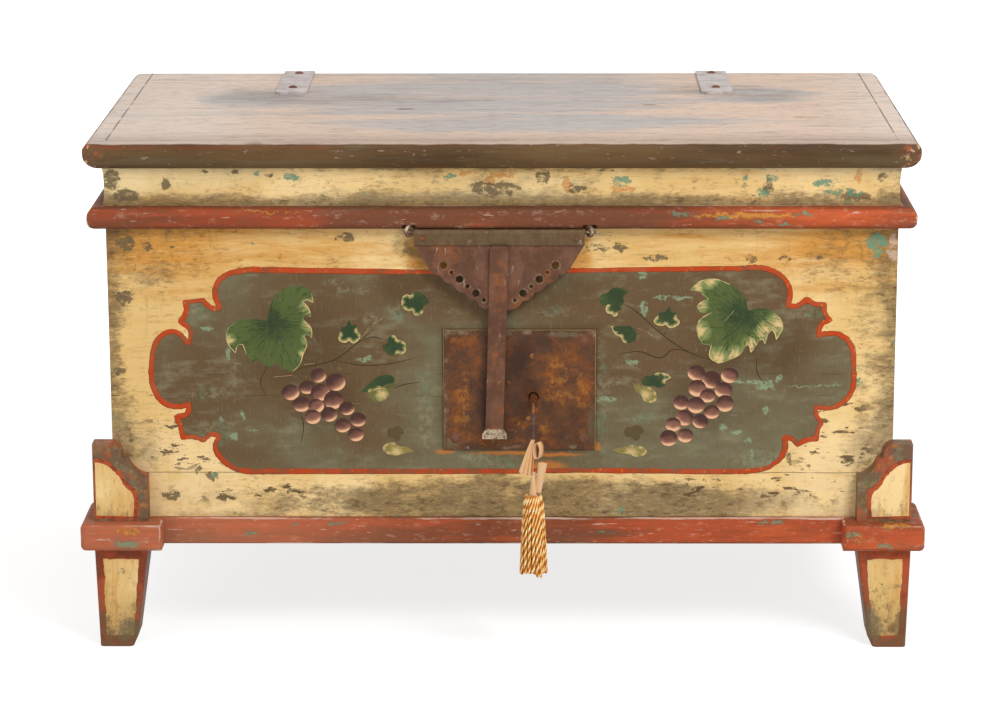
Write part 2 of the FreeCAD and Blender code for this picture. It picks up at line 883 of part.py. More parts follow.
def lock_bolt():
    nose_end = bolt_end_x + bolt_nose_length
    bolt = block(nose_end, bolt_end_x + bolt_length, bolt_front, bolt_back,
                 bolt_bottom, bolt_bottom + bolt_height)
    nose_low = bolt_middle - bolt_nose_height / 2
    nose = block(bolt_end_x, nose_end, bolt_front, bolt_back, nose_low, nose_low + bolt_nose_height)
    bolt = bolt.fuse(nose)
    notch_low, notch_high = notch_sides()
    notch_top = key_z + math.hypot(key_bit_reach, key_bit_thickness / 2) + stump_gap
    bolt = bolt.cut(block(notch_low, notch_high, bolt_front, bolt_back, bolt_bottom - overrun, notch_top))
    slot = rivet_shank_radius + stump_gap
    for x in stump_places_x:
        bolt = bolt.cut(rod("front", x, bolt_middle, bolt_front, bolt_back, slot))
        bolt = bolt.cut(rod("front", x + bolt_throw, bolt_middle, bolt_front, bolt_back, slot))
        bolt = bolt.cut(block(x, x + bolt_throw, bolt_front, bolt_back,
                              bolt_middle - slot, bolt_middle + slot))
    save("lock_bolt", bolt)


def key():
    """Shank, tip, warded bit, collar and ring bow; the bit hangs down at rest."""
    shank = rod("front", key_x, key_z, bow_y + key_bow_radius, bit_back, key_shank_radius)
    tip = rod("front", key_x, key_z, bit_back, case_back + key_tip_out, key_tip_radius)
    half_bit = key_bit_thickness / 2
    bit_front = bit_back - key_bit_length
    bit = block(key_x - half_bit, key_x + half_bit, bit_front, bit_back,
                key_z - key_bit_reach, key_z)
    ward_middle = (bit_front + bit_back) / 2
    bit = bit.cut(block(key_x - half_bit, key_x + half_bit, ward_middle,
                        ward_middle + key_bit_ward_width,
                        key_z - key_bit_reach, key_z - key_bit_reach + key_bit_ward_depth))
    collar_y = bow_y + key_bow_radius + key_bow_wire
    collar = rod("front", key_x, key_z, collar_y, collar_y + key_collar_width, key_collar_radius)
    bow = Part.makeTorus(key_bow_radius, key_bow_wire, FreeCAD.Vector(key_x, bow_y, key_z),
                         FreeCAD.Vector(1, 0, 0))
    save("key", shank.fuse([tip, bit, collar, bow]))


# Hasp

def bar_centre(z):
    """The bar leans a little, so its middle moves sideways on the way down."""
    return hasp_centre_x - bar_lean * (bar_top - z) / bar_length


def hasp_outline():
    """The sheet seen from the front: straight ends, slanted shoulders, scallops and a foot."""
    half = hasp_width / 2
    foot = hasp_foot_width / 2
    shoulder = (half - hasp_shoulder_inset, pin_z - hasp_shoulder_height)
    end = (foot, pin_z - hasp_height)
    steps = []
    here = shoulder
    for count in range(1, hasp_scallops + 1):
        share = count / hasp_scallops
        there = (shoulder[0] + (end[0] - shoulder[0]) * share, shoulder[1] + (end[1] - shoulder[1]) * share)
        steps.append((bulged(here, there, -scallop_share), there))
        here = there
    outline = [(0, pin_z + fold_outer), (half, pin_z + fold_outer), (half, bar_top), shoulder]
    right = prism("front", pin_y - overrun, pin_y + overrun, *outline, *steps, (0, pin_z - hasp_height))
    sheet = right.fuse(mirrored(right)).removeSplitter()
    sheet.translate(FreeCAD.Vector(hasp_centre_x, 0, 0))
    return sheet


def hasp_holes():
    """Large and small holes in turn, along each slanted edge."""
    holes = []
    last = 2 * hole_pairs - 1
    for count in range(2 * hole_pairs):
        share = count / last
        across = hole_row_outer[0] + (hole_row_inner[0] - hole_row_outer[0]) * share
        down = hole_row_outer[1] + (hole_row_inner[1] - hole_row_outer[1]) * share
        radius = small_hole_radius if count % 2 else big_hole_radius
        for side in (-1, 1):
            x = hasp_centre_x + side * across
            holes.append(rod("front", x, pin_z - down, pin_y - overrun, pin_y + overrun, radius))
    return holes


def fold_tangent(radius, across, down):
    """The angle where a straight line to the fold's lower edge leaves the roll round the pin."""
    return 360 - math.degrees(math.atan2(down, across) + math.acos(radius / math.hypot(across, down)))


def strip_rivet_places():
    """Each rivet's x, its z and the level of the folded strip there."""
    half = hasp_width / 2 - strip_rivet_inset
    low = (pin_y + fold_inner - hasp_sheet, bar_top)
    angle = fold_tangent(fold_outer, fold_inner - hasp_sheet, hasp_fold_height)
    high = on_circle((pin_y, pin_z), fold_outer, angle)
    z = pin_z - strip_rivet_drop
    level = low[0] + (high[0] - low[0]) * (z - low[1]) / (high[1] - low[1])
    return [(hasp_centre_x - half, z, level), (hasp_centre_x + half, z, level)]


def hasp_plate():
    """One sheet: up behind the pin, over it, and down in front until it meets itself."""
    half = hasp_width / 2
    centre = (pin_y, pin_z)
    back = pin_y + fold_outer
    front = pin_y + fold_inner
    outer_end = fold_tangent(fold_outer, fold_inner - hasp_sheet, hasp_fold_height)
    inner_end = fold_tangent(fold_inner, fold_inner, hasp_fold_height - hasp_sheet)
    folded = prism(
        "side", hasp_centre_x - half, hasp_centre_x + half,
        (back, pin_z - hasp_height),
        (back, pin_z),
        (on_circle(centre, fold_outer, outer_end / 2), on_circle(centre, fold_outer, outer_end)),
        (front - hasp_sheet, bar_top),
        (front, bar_top),
        (front, pin_z - hasp_height),
    )
    inside = prism(
        "side", hasp_centre_x - half, hasp_centre_x + half,
        (front, pin_z),
        (on_circle(centre, fold_inner, inner_end / 2), on_circle(centre, fold_inner, inner_end)),
        (front, bar_top + hasp_sheet),
    )
    sheet = folded.cut(inside).common(hasp_outline())
    for hole in hasp_holes():
        sheet = sheet.cut(hole)
    for x, z, level in strip_rivet_places():
        sheet = sheet.cut(rod("front", x, z, level - overrun, level, rivet_head_radius + nail_gap))
        sheet = sheet.cut(rod("front", x, z, level, back, rivet_shank_radius + nail_gap))
    save("hasp_plate", sheet)


def hasp_rivets():
    solids = []
    for x, z, level in strip_rivet_places():
        head = domed("front", x, z, level, -1, rivet_head_radius, rivet_head_rise)
        solids.append(head.fuse(rod("front", x, z, level, pin_y + fold_outer, rivet_shank_radius)))
    save("hasp_rivets", group(solids))


def bar_outline():
    """The bar from the front: rounded top corners, a slight lean and a flared tip."""
    low = bar_top - bar_length
    tip = low - bar_tip_length
    half = bar_width / 2
    tip_half = bar_tip_width / 2
    flare = (low + tip) / 2
    top_x = bar_centre(bar_top)
    left = (top_x - half + bar_top_radius, bar_top - bar_top_radius)
    right = (top_x + half - bar_top_radius, bar_top - bar_top_radius)
    return prism(
        "front", pin_y - overrun, staple_end,
        (left[0], bar_top),
        (right[0], bar_top),
        (on_circle(right, bar_top_radius, 45), (top_x + half, right[1])),
        (bar_centre(low) + half, low),
        (bar_centre(low) + tip_half, flare),
        (bar_centre(low) + tip_half, tip),
        (bar_centre(low) - tip_half, tip),
        (bar_centre(low) - tip_half, flare),
        (bar_centre(low) - half, low),
        (top_x - half, left[1]),
        (on_circle(left, bar_top_radius, 135), (left[0], bar_top)),
    )


def hasp_bar():
    """The bar from the side: flat on the sheet, cranked back to the lock, curled out at the tip."""
    low = bar_top - bar_length
    tip = low - bar_tip_length
    crank_top = bar_top - bar_straight_length
    crank_low = crank_top - bar_crank_length
    tip_back = bar_low_back - bar_tip_rise
    side = prism(
        "side", hasp_centre_x - hasp_width / 2, hasp_centre_x + hasp_width / 2,
        (bar_back, bar_top),
        (bar_back, crank_top),
        (bar_low_back, crank_low),
        (bar_low_back, low),
        (tip_back, tip),
        (tip_back - bar_thickness, tip),
        (bar_low_back - bar_thickness, low),
        (bar_low_back - bar_thickness, crank_low),
        (bar_back - bar_thickness, crank_top),
        (bar_back - bar_thickness, bar_top),
    )
    save("hasp_bar", side.common(bar_outline()))


def hasp_staple():
    """A loop on the back of the bar, with an eye for the bolt's nose."""
    x = bar_centre(bolt_middle)
    half = staple_thickness / 2
    loop = block(x - half, x + half, bar_low_back, staple_end,
                 bolt_middle - staple_half, bolt_middle + staple_half)
    eye_half = staple_half - staple_wall
    eye = block(x - half, x + half, bolt_front - staple_gap, bolt_back + staple_gap,
                bolt_middle - eye_half, bolt_middle + eye_half)
    save("hasp_staple", loop.cut(eye))


def hasp_pin():
    reach = eye_x + eye_radius + eye_wire
    pin = rod("side", pin_y, pin_z, hasp_centre_x - reach, hasp_centre_x + reach, hasp_pin_radius)
    save("hasp_pin", pin)


def hasp_eyes():
    """Two eye pins whose rings carry the pin, turned a little towards the front."""
    solids = []
    for side in (-1, 1):
        x = hasp_centre_x + side * eye_x
        turn = math.radians(side * eye_turn)
        normal = FreeCAD.Vector(math.cos(turn), math.sin(turn), 0)
        ring = Part.makeTorus(eye_radius, eye_wire, FreeCAD.Vector(x, pin_y, eye_z), normal)
        shank = rod("plan", x, pin_y, eye_z + eye_radius, eye_z + eye_shank_length, eye_wire)
        solids.append(ring.fuse(shank))
    save("hasp_eyes", group(solids))


# Cord, ribbon and tassel

def tassel_cord():
    knot = Part.makeSphere(knot_radius, FreeCAD.Vector(key_x, knot_y, key_z))
    save("tassel_knot", knot)
    save("tassel_cord", rod("plan", key_x, knot_y, ribbon_top, cord_top, cord_radius))


def leaf_section(level, centre_x, half_width, half_thickness, centre_y):
    """A flat, two-arced section of folded cloth."""
    left = (centre_x - half_width, centre_y)
    right = (centre_x + half_width, centre_y)
    return drawing("plan", level, left, ((centre_x, centre_y - half_thickness), right),
                   ((centre_x, centre_y + half_thickness), left))


def ribbon_wing():
    """The wing of the ribbon that falls to the left, wider and flatter as it drops."""
    top = ribbon_top
    low = ribbon_top - wing_length
    middle = (top + low) / 2
    half = wing_width / 2
    sections = [
        leaf_section(top, key_x, wing_top_half, wing_top_half, knot_y),
        leaf_section(middle, key_x - wing_side / 2, half * wing_middle_share, wing_thickness / 2, knot_y),
        leaf_section(low, key_x - wing_side, half, wing_thickness / 2, knot_y),
    ]
    return Part.makeLoft(sections, True, True)


def ribbon_roll():
    """The rolled end of the ribbon, a short open tube that leans towards the tassel."""
    top = FreeCAD.Vector(key_x + roll_top[0], knot_y - roll_back, ribbon_top - roll_top[1])
    low = FreeCAD.Vector(key_x + roll_bottom[0], knot_y - roll_back, ribbon_top - roll_bottom[1])
    way = low - top
    roll = Part.makeCylinder(roll_radius, way.Length, top, way)
    well = Part.makeCylinder(roll_radius * roll_well_share, roll_well_depth, top, way)
    return roll.cut(well)


def ribbon_loop():
    """The small loop beside the knot."""
    low = ribbon_top - roll_top[1] - roll_radius
    sections = [
        leaf_section(ribbon_top - cord_radius, key_x + cord_radius, cord_radius, cord_radius, knot_y),
        leaf_section(ribbon_top - loop_height, key_x + loop_middle_across, loop_middle_half,
                     wing_thickness / 2, knot_y),
        leaf_section(low, key_x + loop_end_across, roll_radius, wing_thickness / 2, knot_y),
    ]
    return Part.makeLoft(sections, True, True)


def ribbon_neck():
    """Where the ribbon is gathered round the head of the tassel."""
    low = ribbon_top - roll_bottom[1] - roll_radius
    return Part.makeCone(neck_radius, neck_low_radius, neck_length, FreeCAD.Vector(key_x, knot_y, low))


def tassel_ribbon():
    cloth = ribbon_wing().fuse([ribbon_roll(), ribbon_loop(), ribbon_neck()])
    save("tassel_ribbon", cloth)


def skirt_section(level, radius):
    """A ring of round cords, each an arc between two grooves."""
    valley = radius * (1 - skirt_groove_share)
    step = 360 / skirt_cords
    centre = (key_x, knot_y)
    start = on_circle(centre, valley, -step / 2)
    steps = []
    for count in range(skirt_cords):
        is_last = count == skirt_cords - 1
        end = start if is_last else on_circle(centre, valley, (count + 1) * step - step / 2)
        steps.append((on_circle(centre, radius, count * step), end))
    return drawing("plan", level, start, *steps)


def tassel_skirt():
    """The tassel's skirt of cords, which spreads as it falls."""
    top = ribbon_top - roll_bottom[1] - roll_radius
    spread = skirt_bottom_radius - skirt_top_radius
    sections = []
    for drop, width in zip(skirt_level_shares, skirt_spread_shares):
        sections.append(skirt_section(top - skirt_length * drop, skirt_top_radius + spread * width))
    save("tassel_skirt", Part.makeLoft(sections, True, True))


os.makedirs("parts", exist_ok=True)
lid_planks()
lid_edges()
lid_frieze()
lid_beads()
hinges()
body_boards()
bottom_planks()
base_rails()
corner_blocks()
legs()
brackets()
lock_plate()
lock_case()
lock_rivets()
lock_bolt()
key()
hasp_plate()
hasp_rivets()
hasp_bar()
hasp_staple()
hasp_pin()
hasp_eyes()
tassel_cord()
tassel_ribbon()
tassel_skirt()
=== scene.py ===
import math
import random
from functools import reduce

import bpy
from mathutils import Matrix, Vector, noise


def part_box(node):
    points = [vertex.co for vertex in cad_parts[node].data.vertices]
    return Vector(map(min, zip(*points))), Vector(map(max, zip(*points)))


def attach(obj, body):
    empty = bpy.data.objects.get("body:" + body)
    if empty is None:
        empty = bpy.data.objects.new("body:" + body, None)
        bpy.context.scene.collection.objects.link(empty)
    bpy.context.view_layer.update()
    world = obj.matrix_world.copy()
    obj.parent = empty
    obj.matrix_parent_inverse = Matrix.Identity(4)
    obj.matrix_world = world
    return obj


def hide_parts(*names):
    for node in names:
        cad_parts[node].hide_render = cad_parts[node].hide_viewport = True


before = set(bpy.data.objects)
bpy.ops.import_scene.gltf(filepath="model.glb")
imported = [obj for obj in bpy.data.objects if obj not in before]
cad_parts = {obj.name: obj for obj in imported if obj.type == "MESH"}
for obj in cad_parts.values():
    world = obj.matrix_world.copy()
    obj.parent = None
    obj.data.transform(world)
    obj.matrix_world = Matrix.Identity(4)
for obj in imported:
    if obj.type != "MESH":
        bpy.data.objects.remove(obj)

bl_info = {
    "name": "Painted Blanket Chest",
    "version": (1, 1, 0),
    "blender": (4, 5, 0),
    "location": "3D View > Sidebar > Chest",
    "description": "Paint, ironwork, cord, ribbon and tassel for a painted chest",
    "category": "Object",
}

MM = 0.001


# Colours and sizes a user would change


def linear(value):
    """One channel of a colour chart, 0 to 255, as Blender's linear value."""
    part = value / 255
    return part / 12.92 if part <= 0.04045 else ((part + 0.055) / 1.055) ** 2.4


def colour(name, description, *chart):
    """A setting for a colour, given as red, green and blue from 0 to 255."""
    return bpy.props.FloatVectorProperty(
        name=name,
        description=description,
        subtype="COLOR",
        size=3,
        min=0.0,
        max=1.0,
        default=[linear(value) for value in chart],
    )


def length(name, description, millimetres):
    return bpy.props.FloatProperty(
        name=name, description=description, subtype="DISTANCE", unit="LENGTH", min=0, default=millimetres * MM
    )


def share(name, description, default):
    return bpy.props.FloatProperty(
        name=name, description=description, subtype="FACTOR", min=0.0, max=1.0, default=default
    )


class ChestPaint(bpy.types.PropertyGroup):
    """Colours of the painted wood."""

    cream: colour("Cream", "Ground of the body and the frieze", 226, 188, 122)
    pale: colour("Pale cream", "Lighter cream round the panel", 244, 212, 152)
    cream_light: colour("Light cream", "Light cream low on the front", 240, 210, 158)
    cream_faded: colour("Faded cream", "Cooler cream of the frieze", 226, 212, 170)
    ochre: colour("Ochre", "Yellowed cream near the upper corners", 206, 142, 58)
    umber: colour("Umber", "Brown grains in the cream", 124, 86, 46)
    grime: colour("Grime", "Brown dirt along edges and in corners", 74, 54, 34)
    bare: colour("Bare", "Grey-brown ground that shows in the chips", 108, 92, 66)
    teal: colour("Teal", "Older teal paint that shows in the chips", 104, 146, 118)
    orange: colour("Orange", "Older orange paint that shows in the chips", 208, 122, 46)
    field: colour("Field", "Olive-grey ground of the panel", 112, 104, 78)
    field_warm: colour("Warm field", "Brown zones of the panel", 102, 80, 54)
    field_pale: colour("Rubbed field", "Pale rubs on the panel", 152, 148, 118)
    border: colour("Border", "Red-orange line round the panel", 186, 66, 24)
    red: colour("Red", "Mouldings, base rails and corner blocks", 176, 80, 46)
    red_dark: colour("Dark red", "Darker zones of the red paint", 130, 62, 38)
    red_light: colour("Light red", "Rubbed zones of the red paint", 204, 96, 52)
    red_brown: colour("Red brown", "Grey-brown zones of the red paint", 116, 84, 66)
    red_sooty: colour("Sooty red", "Soot on the red paint", 108, 68, 46)
    red_rosy: colour("Rosy red", "Faded left end of the base rail", 206, 132, 98)
    band_green: colour("Band green", "Green rubs of the brackets' band", 118, 122, 92)
    edge: colour("Edge brown", "Dark olive paint of the lid's edge", 106, 80, 50)
    lid_grey: colour("Lid grey", "Faded grey of the lid's top", 184, 176, 171)
    lid_peach: colour("Lid peach", "Bare warm zones of the lid's top", 216, 190, 170)
    lid_pale: colour("Pale lid", "Paler ends of the lid's top", 226, 212, 200)
    lid_front: colour("Lid front", "Browner zone by the lid's front edge", 150, 130, 116)
    lid_stain: colour("Lid stain", "Dark stains of the lid's top", 104, 86, 76)
    wood: colour("Wood", "Bare softwood inside and behind", 150, 112, 74)
    leaf_dark: colour("Leaf dark", "Shaded side of the leaves", 46, 58, 36)
    leaf_deep: colour("Leaf deep", "Blue-green ground of the leaves", 50, 66, 42)
    leaf_mid: colour("Leaf green", "Middle green of the leaves", 86, 98, 52)
    leaf_fresh: colour("Leaf fresh", "Light green of the leaves", 132, 144, 86)
    leaf_ochre: colour("Leaf ochre", "Ochre of the drop-shaped leaves", 150, 132, 74)
    leaf_rim: colour("Leaf rim", "Pale rims of the leaves", 222, 190, 132)
    grape_dark: colour("Grape dark", "Shaded side of the grapes", 74, 48, 42)
    grape_mid: colour("Grape mauve", "Middle tone of the grapes", 138, 94, 78)
    grape_rim: colour("Grape rim", "Lit rims of the grapes", 232, 178, 138)


class ChestIron(bpy.types.PropertyGroup):
    """Colours of the ironwork."""

    hasp: colour("Hasp", "Purple-brown skin of the hasp", 96, 64, 48)
    hasp_light: colour("Hasp highlights", "Rubbed zones of the hasp", 116, 80, 62)
    strip: colour("Hasp strip", "Olive-brown skin of the folded strip", 98, 76, 52)
    plate: colour("Lock plate", "Brown skin of the lock plate", 102, 64, 40)
    plate_brown: colour("Lock plate brown", "Duller zones of the lock plate", 84, 58, 42)
    plate_dark: colour("Lock plate dark", "Nearly black zones of the lock plate", 46, 32, 26)
    rivet: colour("Rivets", "Rubbed heads of the lock's rivets", 176, 118, 60)
    rust: colour("Rust", "Orange rust patches", 160, 92, 42)
    strap: colour("Straps", "Grey skin of the hinge straps", 196, 186, 182)
    strap_shade: colour("Strap shade", "Darker grey of the hinge straps", 172, 160, 156)
    nail: colour("Nails", "Rusty nail heads", 112, 72, 54)
    key: colour("Key", "Dark iron of the key", 84, 60, 44)
    chalk: colour("Chalk", "Pale scratches and dust on the iron", 196, 176, 150)


class ChestTassel(bpy.types.PropertyGroup):
    """Sizes and colours of the cord, the ribbon and the tassel."""

    cord: colour("Cord", "Dark cord from the key", 86, 66, 74)
    # Groove and crest tones of the cord: painted shade and painted highlight.
    cord_groove_shade: colour("Dark cord", "Grooves of the dark cord", 40, 28, 34)
    cord_crest_highlight: colour("Light cord", "Crests of the dark cord", 130, 108, 112)
    ribbon: colour("Ribbon", "Cream ribbon", 224, 180, 130)
    ribbon_gold: colour("Golden folds", "Golden pleats of the ribbon", 216, 140, 46)
    ribbon_shade: colour("Ribbon shade", "Brown inside the folds", 96, 56, 34)
    gold: colour("Gold", "Golden twisted cords", 238, 164, 50)
    # Crest and groove tones of the golden cords: painted highlight and painted shade.
    gold_crest_highlight: colour("Light gold", "Crests of the golden cords", 255, 238, 180)
    gold_groove_shade: colour("Dark gold", "Grooves of the golden cords", 160, 76, 16)
    strand_thickness: length("Strand thickness", "Thickness of one twisted cord", 3.9)
    twist_length: length("Twist length", "Length of one full twist", 22.0)
    outer_strands: bpy.props.IntProperty(
        name="Outer strands", description="Cords in the outer ring", min=6, max=40, default=19
    )
    inner_strands: bpy.props.IntProperty(
        name="Inner strands", description="Cords in the inner ring", min=0, max=30, default=9
    )


class ChestStage(bpy.types.PropertyGroup):
    """Floor, light and camera."""

    floor: colour("Floor", "Pale floor", 238, 238, 238)
    lens: bpy.props.FloatProperty(name="Lens", description="Focal length in millimetres", min=20, default=118.94)
    camera: bpy.props.FloatVectorProperty(
        name="Camera",
        description="Place of the camera",
        subtype="TRANSLATION",
        unit="LENGTH",
        size=3,
        default=(0.038, -3.85, 1.253),
    )
    pitch: bpy.props.FloatProperty(
        name="Pitch", description="How far the camera looks down", subtype="ANGLE", default=math.radians(13.95)
    )
    yaw: bpy.props.FloatProperty(
        name="Yaw", description="How far the camera looks left", subtype="ANGLE", default=math.radians(0.63)
    )
    roll: bpy.props.FloatProperty(
        name="Roll", description="How far the camera leans right", subtype="ANGLE", default=math.radians(0.15)
    )
    key_light: bpy.props.FloatProperty(name="Key light", description="Large lamp, front right", min=0, default=66)
    fill_light: bpy.props.FloatProperty(name="Fill light", description="Large lamp, front left", min=0, default=24)
    top_light: bpy.props.FloatProperty(name="Top light", description="Large lamp above", min=0, default=22)
    surround: share("Surround", "Even light from all sides", 0.38)


def named_colour(name):
    """The colour of that name among the settings."""
    scene = bpy.context.scene
    for group in (scene.chest_paint, scene.chest_iron, scene.chest_tassel):
        if name in group.bl_rna.properties:
            return getattr(group, name)
    raise KeyError(name)


# Shader arithmetic

EVEN = (1, 1, 1)
ALONG = {"x": (0.12, 1, 1), "y": (1, 0.12, 1), "z": (1, 1, 0.12)}


class Amount:
    """A number that varies over a surface and can be used in plain arithmetic."""

    def __init__(self, coat, socket):
        self.coat = coat
        self.socket = socket

    def __add__(self, other):
        return self.coat.math("ADD", self, other)

    def __sub__(self, other):
        return self.coat.math("SUBTRACT", self, other)

    def __rsub__(self, other):
        return self.coat.math("SUBTRACT", other, self)

    def __mul__(self, other):
        return self.coat.math("MULTIPLY", self, other)

    def __abs__(self):
        return self.coat.math("ABSOLUTE", self)

    __radd__ = __add__
    __rmul__ = __mul__

    def rise(self, low, high):
        """0 below low, 1 above high and smooth between; high may be the lower number."""
        if low > high:
            return 1 - self.rise(high, low)
        ramp = {"Value": self, "From Min": low, "From Max": high}
        made = self.coat.node("ShaderNodeMapRange", {"interpolation_type": "SMOOTHSTEP"}, ramp)
        return Amount(self.coat, made.outputs["Result"])

    def near(self, centre, reach, fade=0.4):
        """1 near the centre, fading out at the reach."""
        return abs(self - centre).rise(reach, reach * fade)


class Coat:
    """The node tree of one finish, whose colour is laid on layer by layer.

    A tone is the name of a colour among the settings. A stretch is three factors, or the axis that streaks
    run along.
    """

    def __init__(self, name, specular=0.12, **sockets):
        self.material = bpy.data.materials.new(name)
        self.material.use_nodes = True
        self.tree = self.material.node_tree
        self.shader = self.tree.nodes["Principled BSDF"]
        self.shader.inputs["Specular IOR Level"].default_value = specular
        for socket, value in sockets.items():
            self.shader.inputs[socket.replace("_", " ").title()].default_value = value
        coordinates = self.tree.nodes.new("ShaderNodeTexCoord")
        self.place = coordinates.outputs["Object"]
        self.x, self.y, self.z = self.parts(self.place)
        self.facing = coordinates.outputs["Normal"]
        self.colour = None

    def node(self, kind, settings, sockets):
        made = self.tree.nodes.new(kind)
        for name, value in settings.items():
            setattr(made, name, value)
        for name, value in sockets.items():
            self.put(made.inputs[name], value)
        return made

    def put(self, socket, value):
        """Links or sets a socket; a string is a tone."""
        if isinstance(value, str):
            value = named_colour(value)
        elif isinstance(value, Amount):
            value = value.socket
        if isinstance(value, bpy.types.NodeSocket):
            self.tree.links.new(value, socket)
        elif socket.type == "RGBA":
            socket.default_value = (*value, 1)
        else:
            socket.default_value = value

    def parts(self, vector):
        split = self.node("ShaderNodeSeparateXYZ", {}, {"Vector": vector})
        return tuple(Amount(self, output) for output in split.outputs)

    def math(self, operation, *values):
        made = self.node("ShaderNodeMath", {"operation": operation}, dict(enumerate(values)))
        return Amount(self, made.outputs[0])

    def least(self, first, second):
        return self.math("MINIMUM", first, second)

    def most(self, first, second):
        return self.math("MAXIMUM", first, second)

    def vector(self, operation, *values):
        return self.node("ShaderNodeVectorMath", {"operation": operation}, dict(enumerate(values)))

    def scaled(self, vector, stretch, shift):
        return self.vector("MULTIPLY_ADD", vector, stretch, shift).outputs[0]

    def noise(self, scale, detail, rough, stretch=EVEN, shift=(0, 0, 0), swirl=0, base=None):
        vector = self.scaled(base or self.place, ALONG.get(stretch, stretch), shift)
        sockets = {"Vector": vector, "Scale": scale, "Detail": detail, "Roughness": rough, "Distortion": swirl}
        return self.node("ShaderNodeTexNoise", {}, sockets)

    def cloud(self, scale, detail=5, rough=0.66, *rest, **more):
        """A cloudy pattern; the rest is its stretch, shift, swirl and base."""
        return Amount(self, self.noise(scale, detail, rough, *rest, **more).outputs["Fac"])

    def flakes(self, scale, edge, detail=4, stretch=EVEN, shift=(0, 0, 0), soft=0.02):
        """Islands with ragged rims, where a cloudy pattern is above the edge value."""
        return self.cloud(scale, detail, 0.62, stretch, shift).rise(edge, edge + soft)

    def spots(self, places, ragged=11, scale=100, soft=0.1, flat=1):
        """Islands at chosen places, (across, along, half width, half length) in millimetres, with ragged rims.

        flat is the axis that is ignored: 1 on a front face, 2 on a top.
        """
        torn = self.noise(scale, 6, 0.74).outputs["Color"]
        warped = self.scaled(torn, (2 * ragged * MM,) * 3, self.place)
        distances = []
        for across, along, wide, tall in places:
            stretch, shift = [0, 0, 0], [0, 0, 0]
            for axis, centre, half in ((0, across, wide), (3 - flat, along, tall)):
                stretch[axis] = 1 / (half * MM)
                shift[axis] = -(centre + ragged) / half
            away = self.vector("LENGTH", self.scaled(warped, stretch, shift))
            distances.append(Amount(self, away.outputs["Value"]))
        return reduce(self.least, distances).rise(1 + soft, 1 - soft)

    def mix(self, factor, first, second):
        return self.node("ShaderNodeMix", {"data_type": "RGBA"}, {0: factor, 6: first, 7: second}).outputs[2]

    def base(self, factor, first, second):
        """Starts the coat with two tones."""
        self.colour = self.mix(factor, first, second)

    def lay(self, mask, over):
        """Lays a tone over the coat where the mask says."""
        self.colour = self.mix(mask, self.colour, over)

    def edge_distance(self, node):
        """How far a point on a box-like node is from the nearest edge of its box."""
        low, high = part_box(node)
        depths = []
        for value, a, b in zip((self.x, self.y, self.z), low, high):
            depths.append((b - a) / 2 - abs(value - (a + b) / 2))
        first, second, third = depths
        return self.most(self.least(first, second), self.least(self.most(first, second), third))

    def outside(self, node):
        """How far a point on a front face is outside a node, seen from the front."""
        low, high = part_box(node)
        across = abs(self.x - (low.x + high.x) / 2) - (high.x - low.x) / 2
        along = abs(self.z - (low.z + high.z) / 2) - (high.z - low.z) / 2
        return self.most(across, along)

    def attribute(self, name):
        return Amount(self, self.node("ShaderNodeAttribute", {"attribute_name": name}, {}).outputs["Fac"])

    def finish(self, roughness, height, depth):
        """Joins colour, roughness and relief to the shader; depth is the relief in metres."""
        bump = self.node("ShaderNodeBump", {}, {"Height": height, "Distance": depth})
        self.put(self.shader.inputs["Base Color"], self.colour)
        self.put(self.shader.inputs["Roughness"], roughness)
        self.put(self.shader.inputs["Normal"], bump.outputs["Normal"])
        return self.material


def dress(material, *nodes):
    """Gives CAD nodes their finish."""
    for node in nodes:
        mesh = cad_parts[node].data
        mesh.materials.clear()
        mesh.materials.append(material)


# Coats of paint


def grain(coat, along, scale):
    """Streaks that run with the boards."""
    return coat.cloud(scale, 4, 0.6, along, swirl=0.4)


def cream_coat(coat, along, dirt, ochre, wear=0):
    """Aged cream paint: ochre zones, streaks, brown grains, dirt and small chips. The dirt mask also carries the
    painted shade that the front board and the frieze pass in.
    """
    smear = tuple(min(1, 3 * part) for part in ALONG[along])
    broad = coat.cloud(8, 4, 0.6, shift=(1.7, 0.4, 2.2))
    coat.base(broad.rise(0.4, 0.62), "cream", "pale")
    streaks = coat.cloud(60, stretch=along, swirl=0.4)
    coat.lay((streaks * 1.3 + ochre).rise(0.66, 1.2) * 0.9, "ochre")
    fine = coat.cloud(360, 3, 0.6, along)
    coat.lay(fine.rise(0.54, 0.74) * 0.3, "pale")
    coat.lay(fine.rise(0.44, 0.26) * 0.34, "umber")
    patchy = coat.cloud(26, rough=0.7, shift=(0.2, 7, 3))
    grit = coat.cloud(340, 4, 0.75, smear, (3, 3, 1))
    grains = (grit + (patchy - 0.5) * 0.6 + dirt * 0.3).rise(0.57, 0.74)
    coat.lay(grains * 0.5, "umber")
    soil = coat.cloud(60, 6, 0.74, smear, (5, 1, 0))
    dirty = (soil * 1.2 + patchy * 0.6 + dirt).rise(1.04, 1.46)
    coat.lay(dirty * 0.66, "bare")
    dots = (coat.cloud(190, 6, 0.8, smear, (8, 3, 1)) + (dirty - 0.5) * 0.14).rise(0.58, 0.68)
    coat.lay(dots * (dirty * 0.45 + 0.12), "grime")
    chipped = (coat.cloud(68, rough=0.64, shift=(3.3, 1.1, 0.9)) + dirt * 0.08 + wear).rise(0.7, 0.715)
    older = coat.mix(coat.flakes(14, 0.53, 2, shift=(9, 9, 9)), "bare", "teal")
    coat.lay(chipped * 0.8, older)
    height = streaks * 0.3 + fine * 0.2 - grains * 0.25 - chipped * 0.5
    return 0.5 + chipped * 0.2 + grains * 0.15, height


def chips(coat, places, over, ragged=11, strength=0.9, soft=0.08):
    """Lays chips of one tone at chosen places and gives how deep they are."""
    mask = coat.spots(places, ragged, soft=soft) * coat.cloud(170, 5, 0.78, (0.6, 0.6, 1)).rise(0.38, 0.5)
    coat.lay(mask * strength, over)
    return mask * 0.5


# Joints between the boards: height, half width, and how much of the line is missing

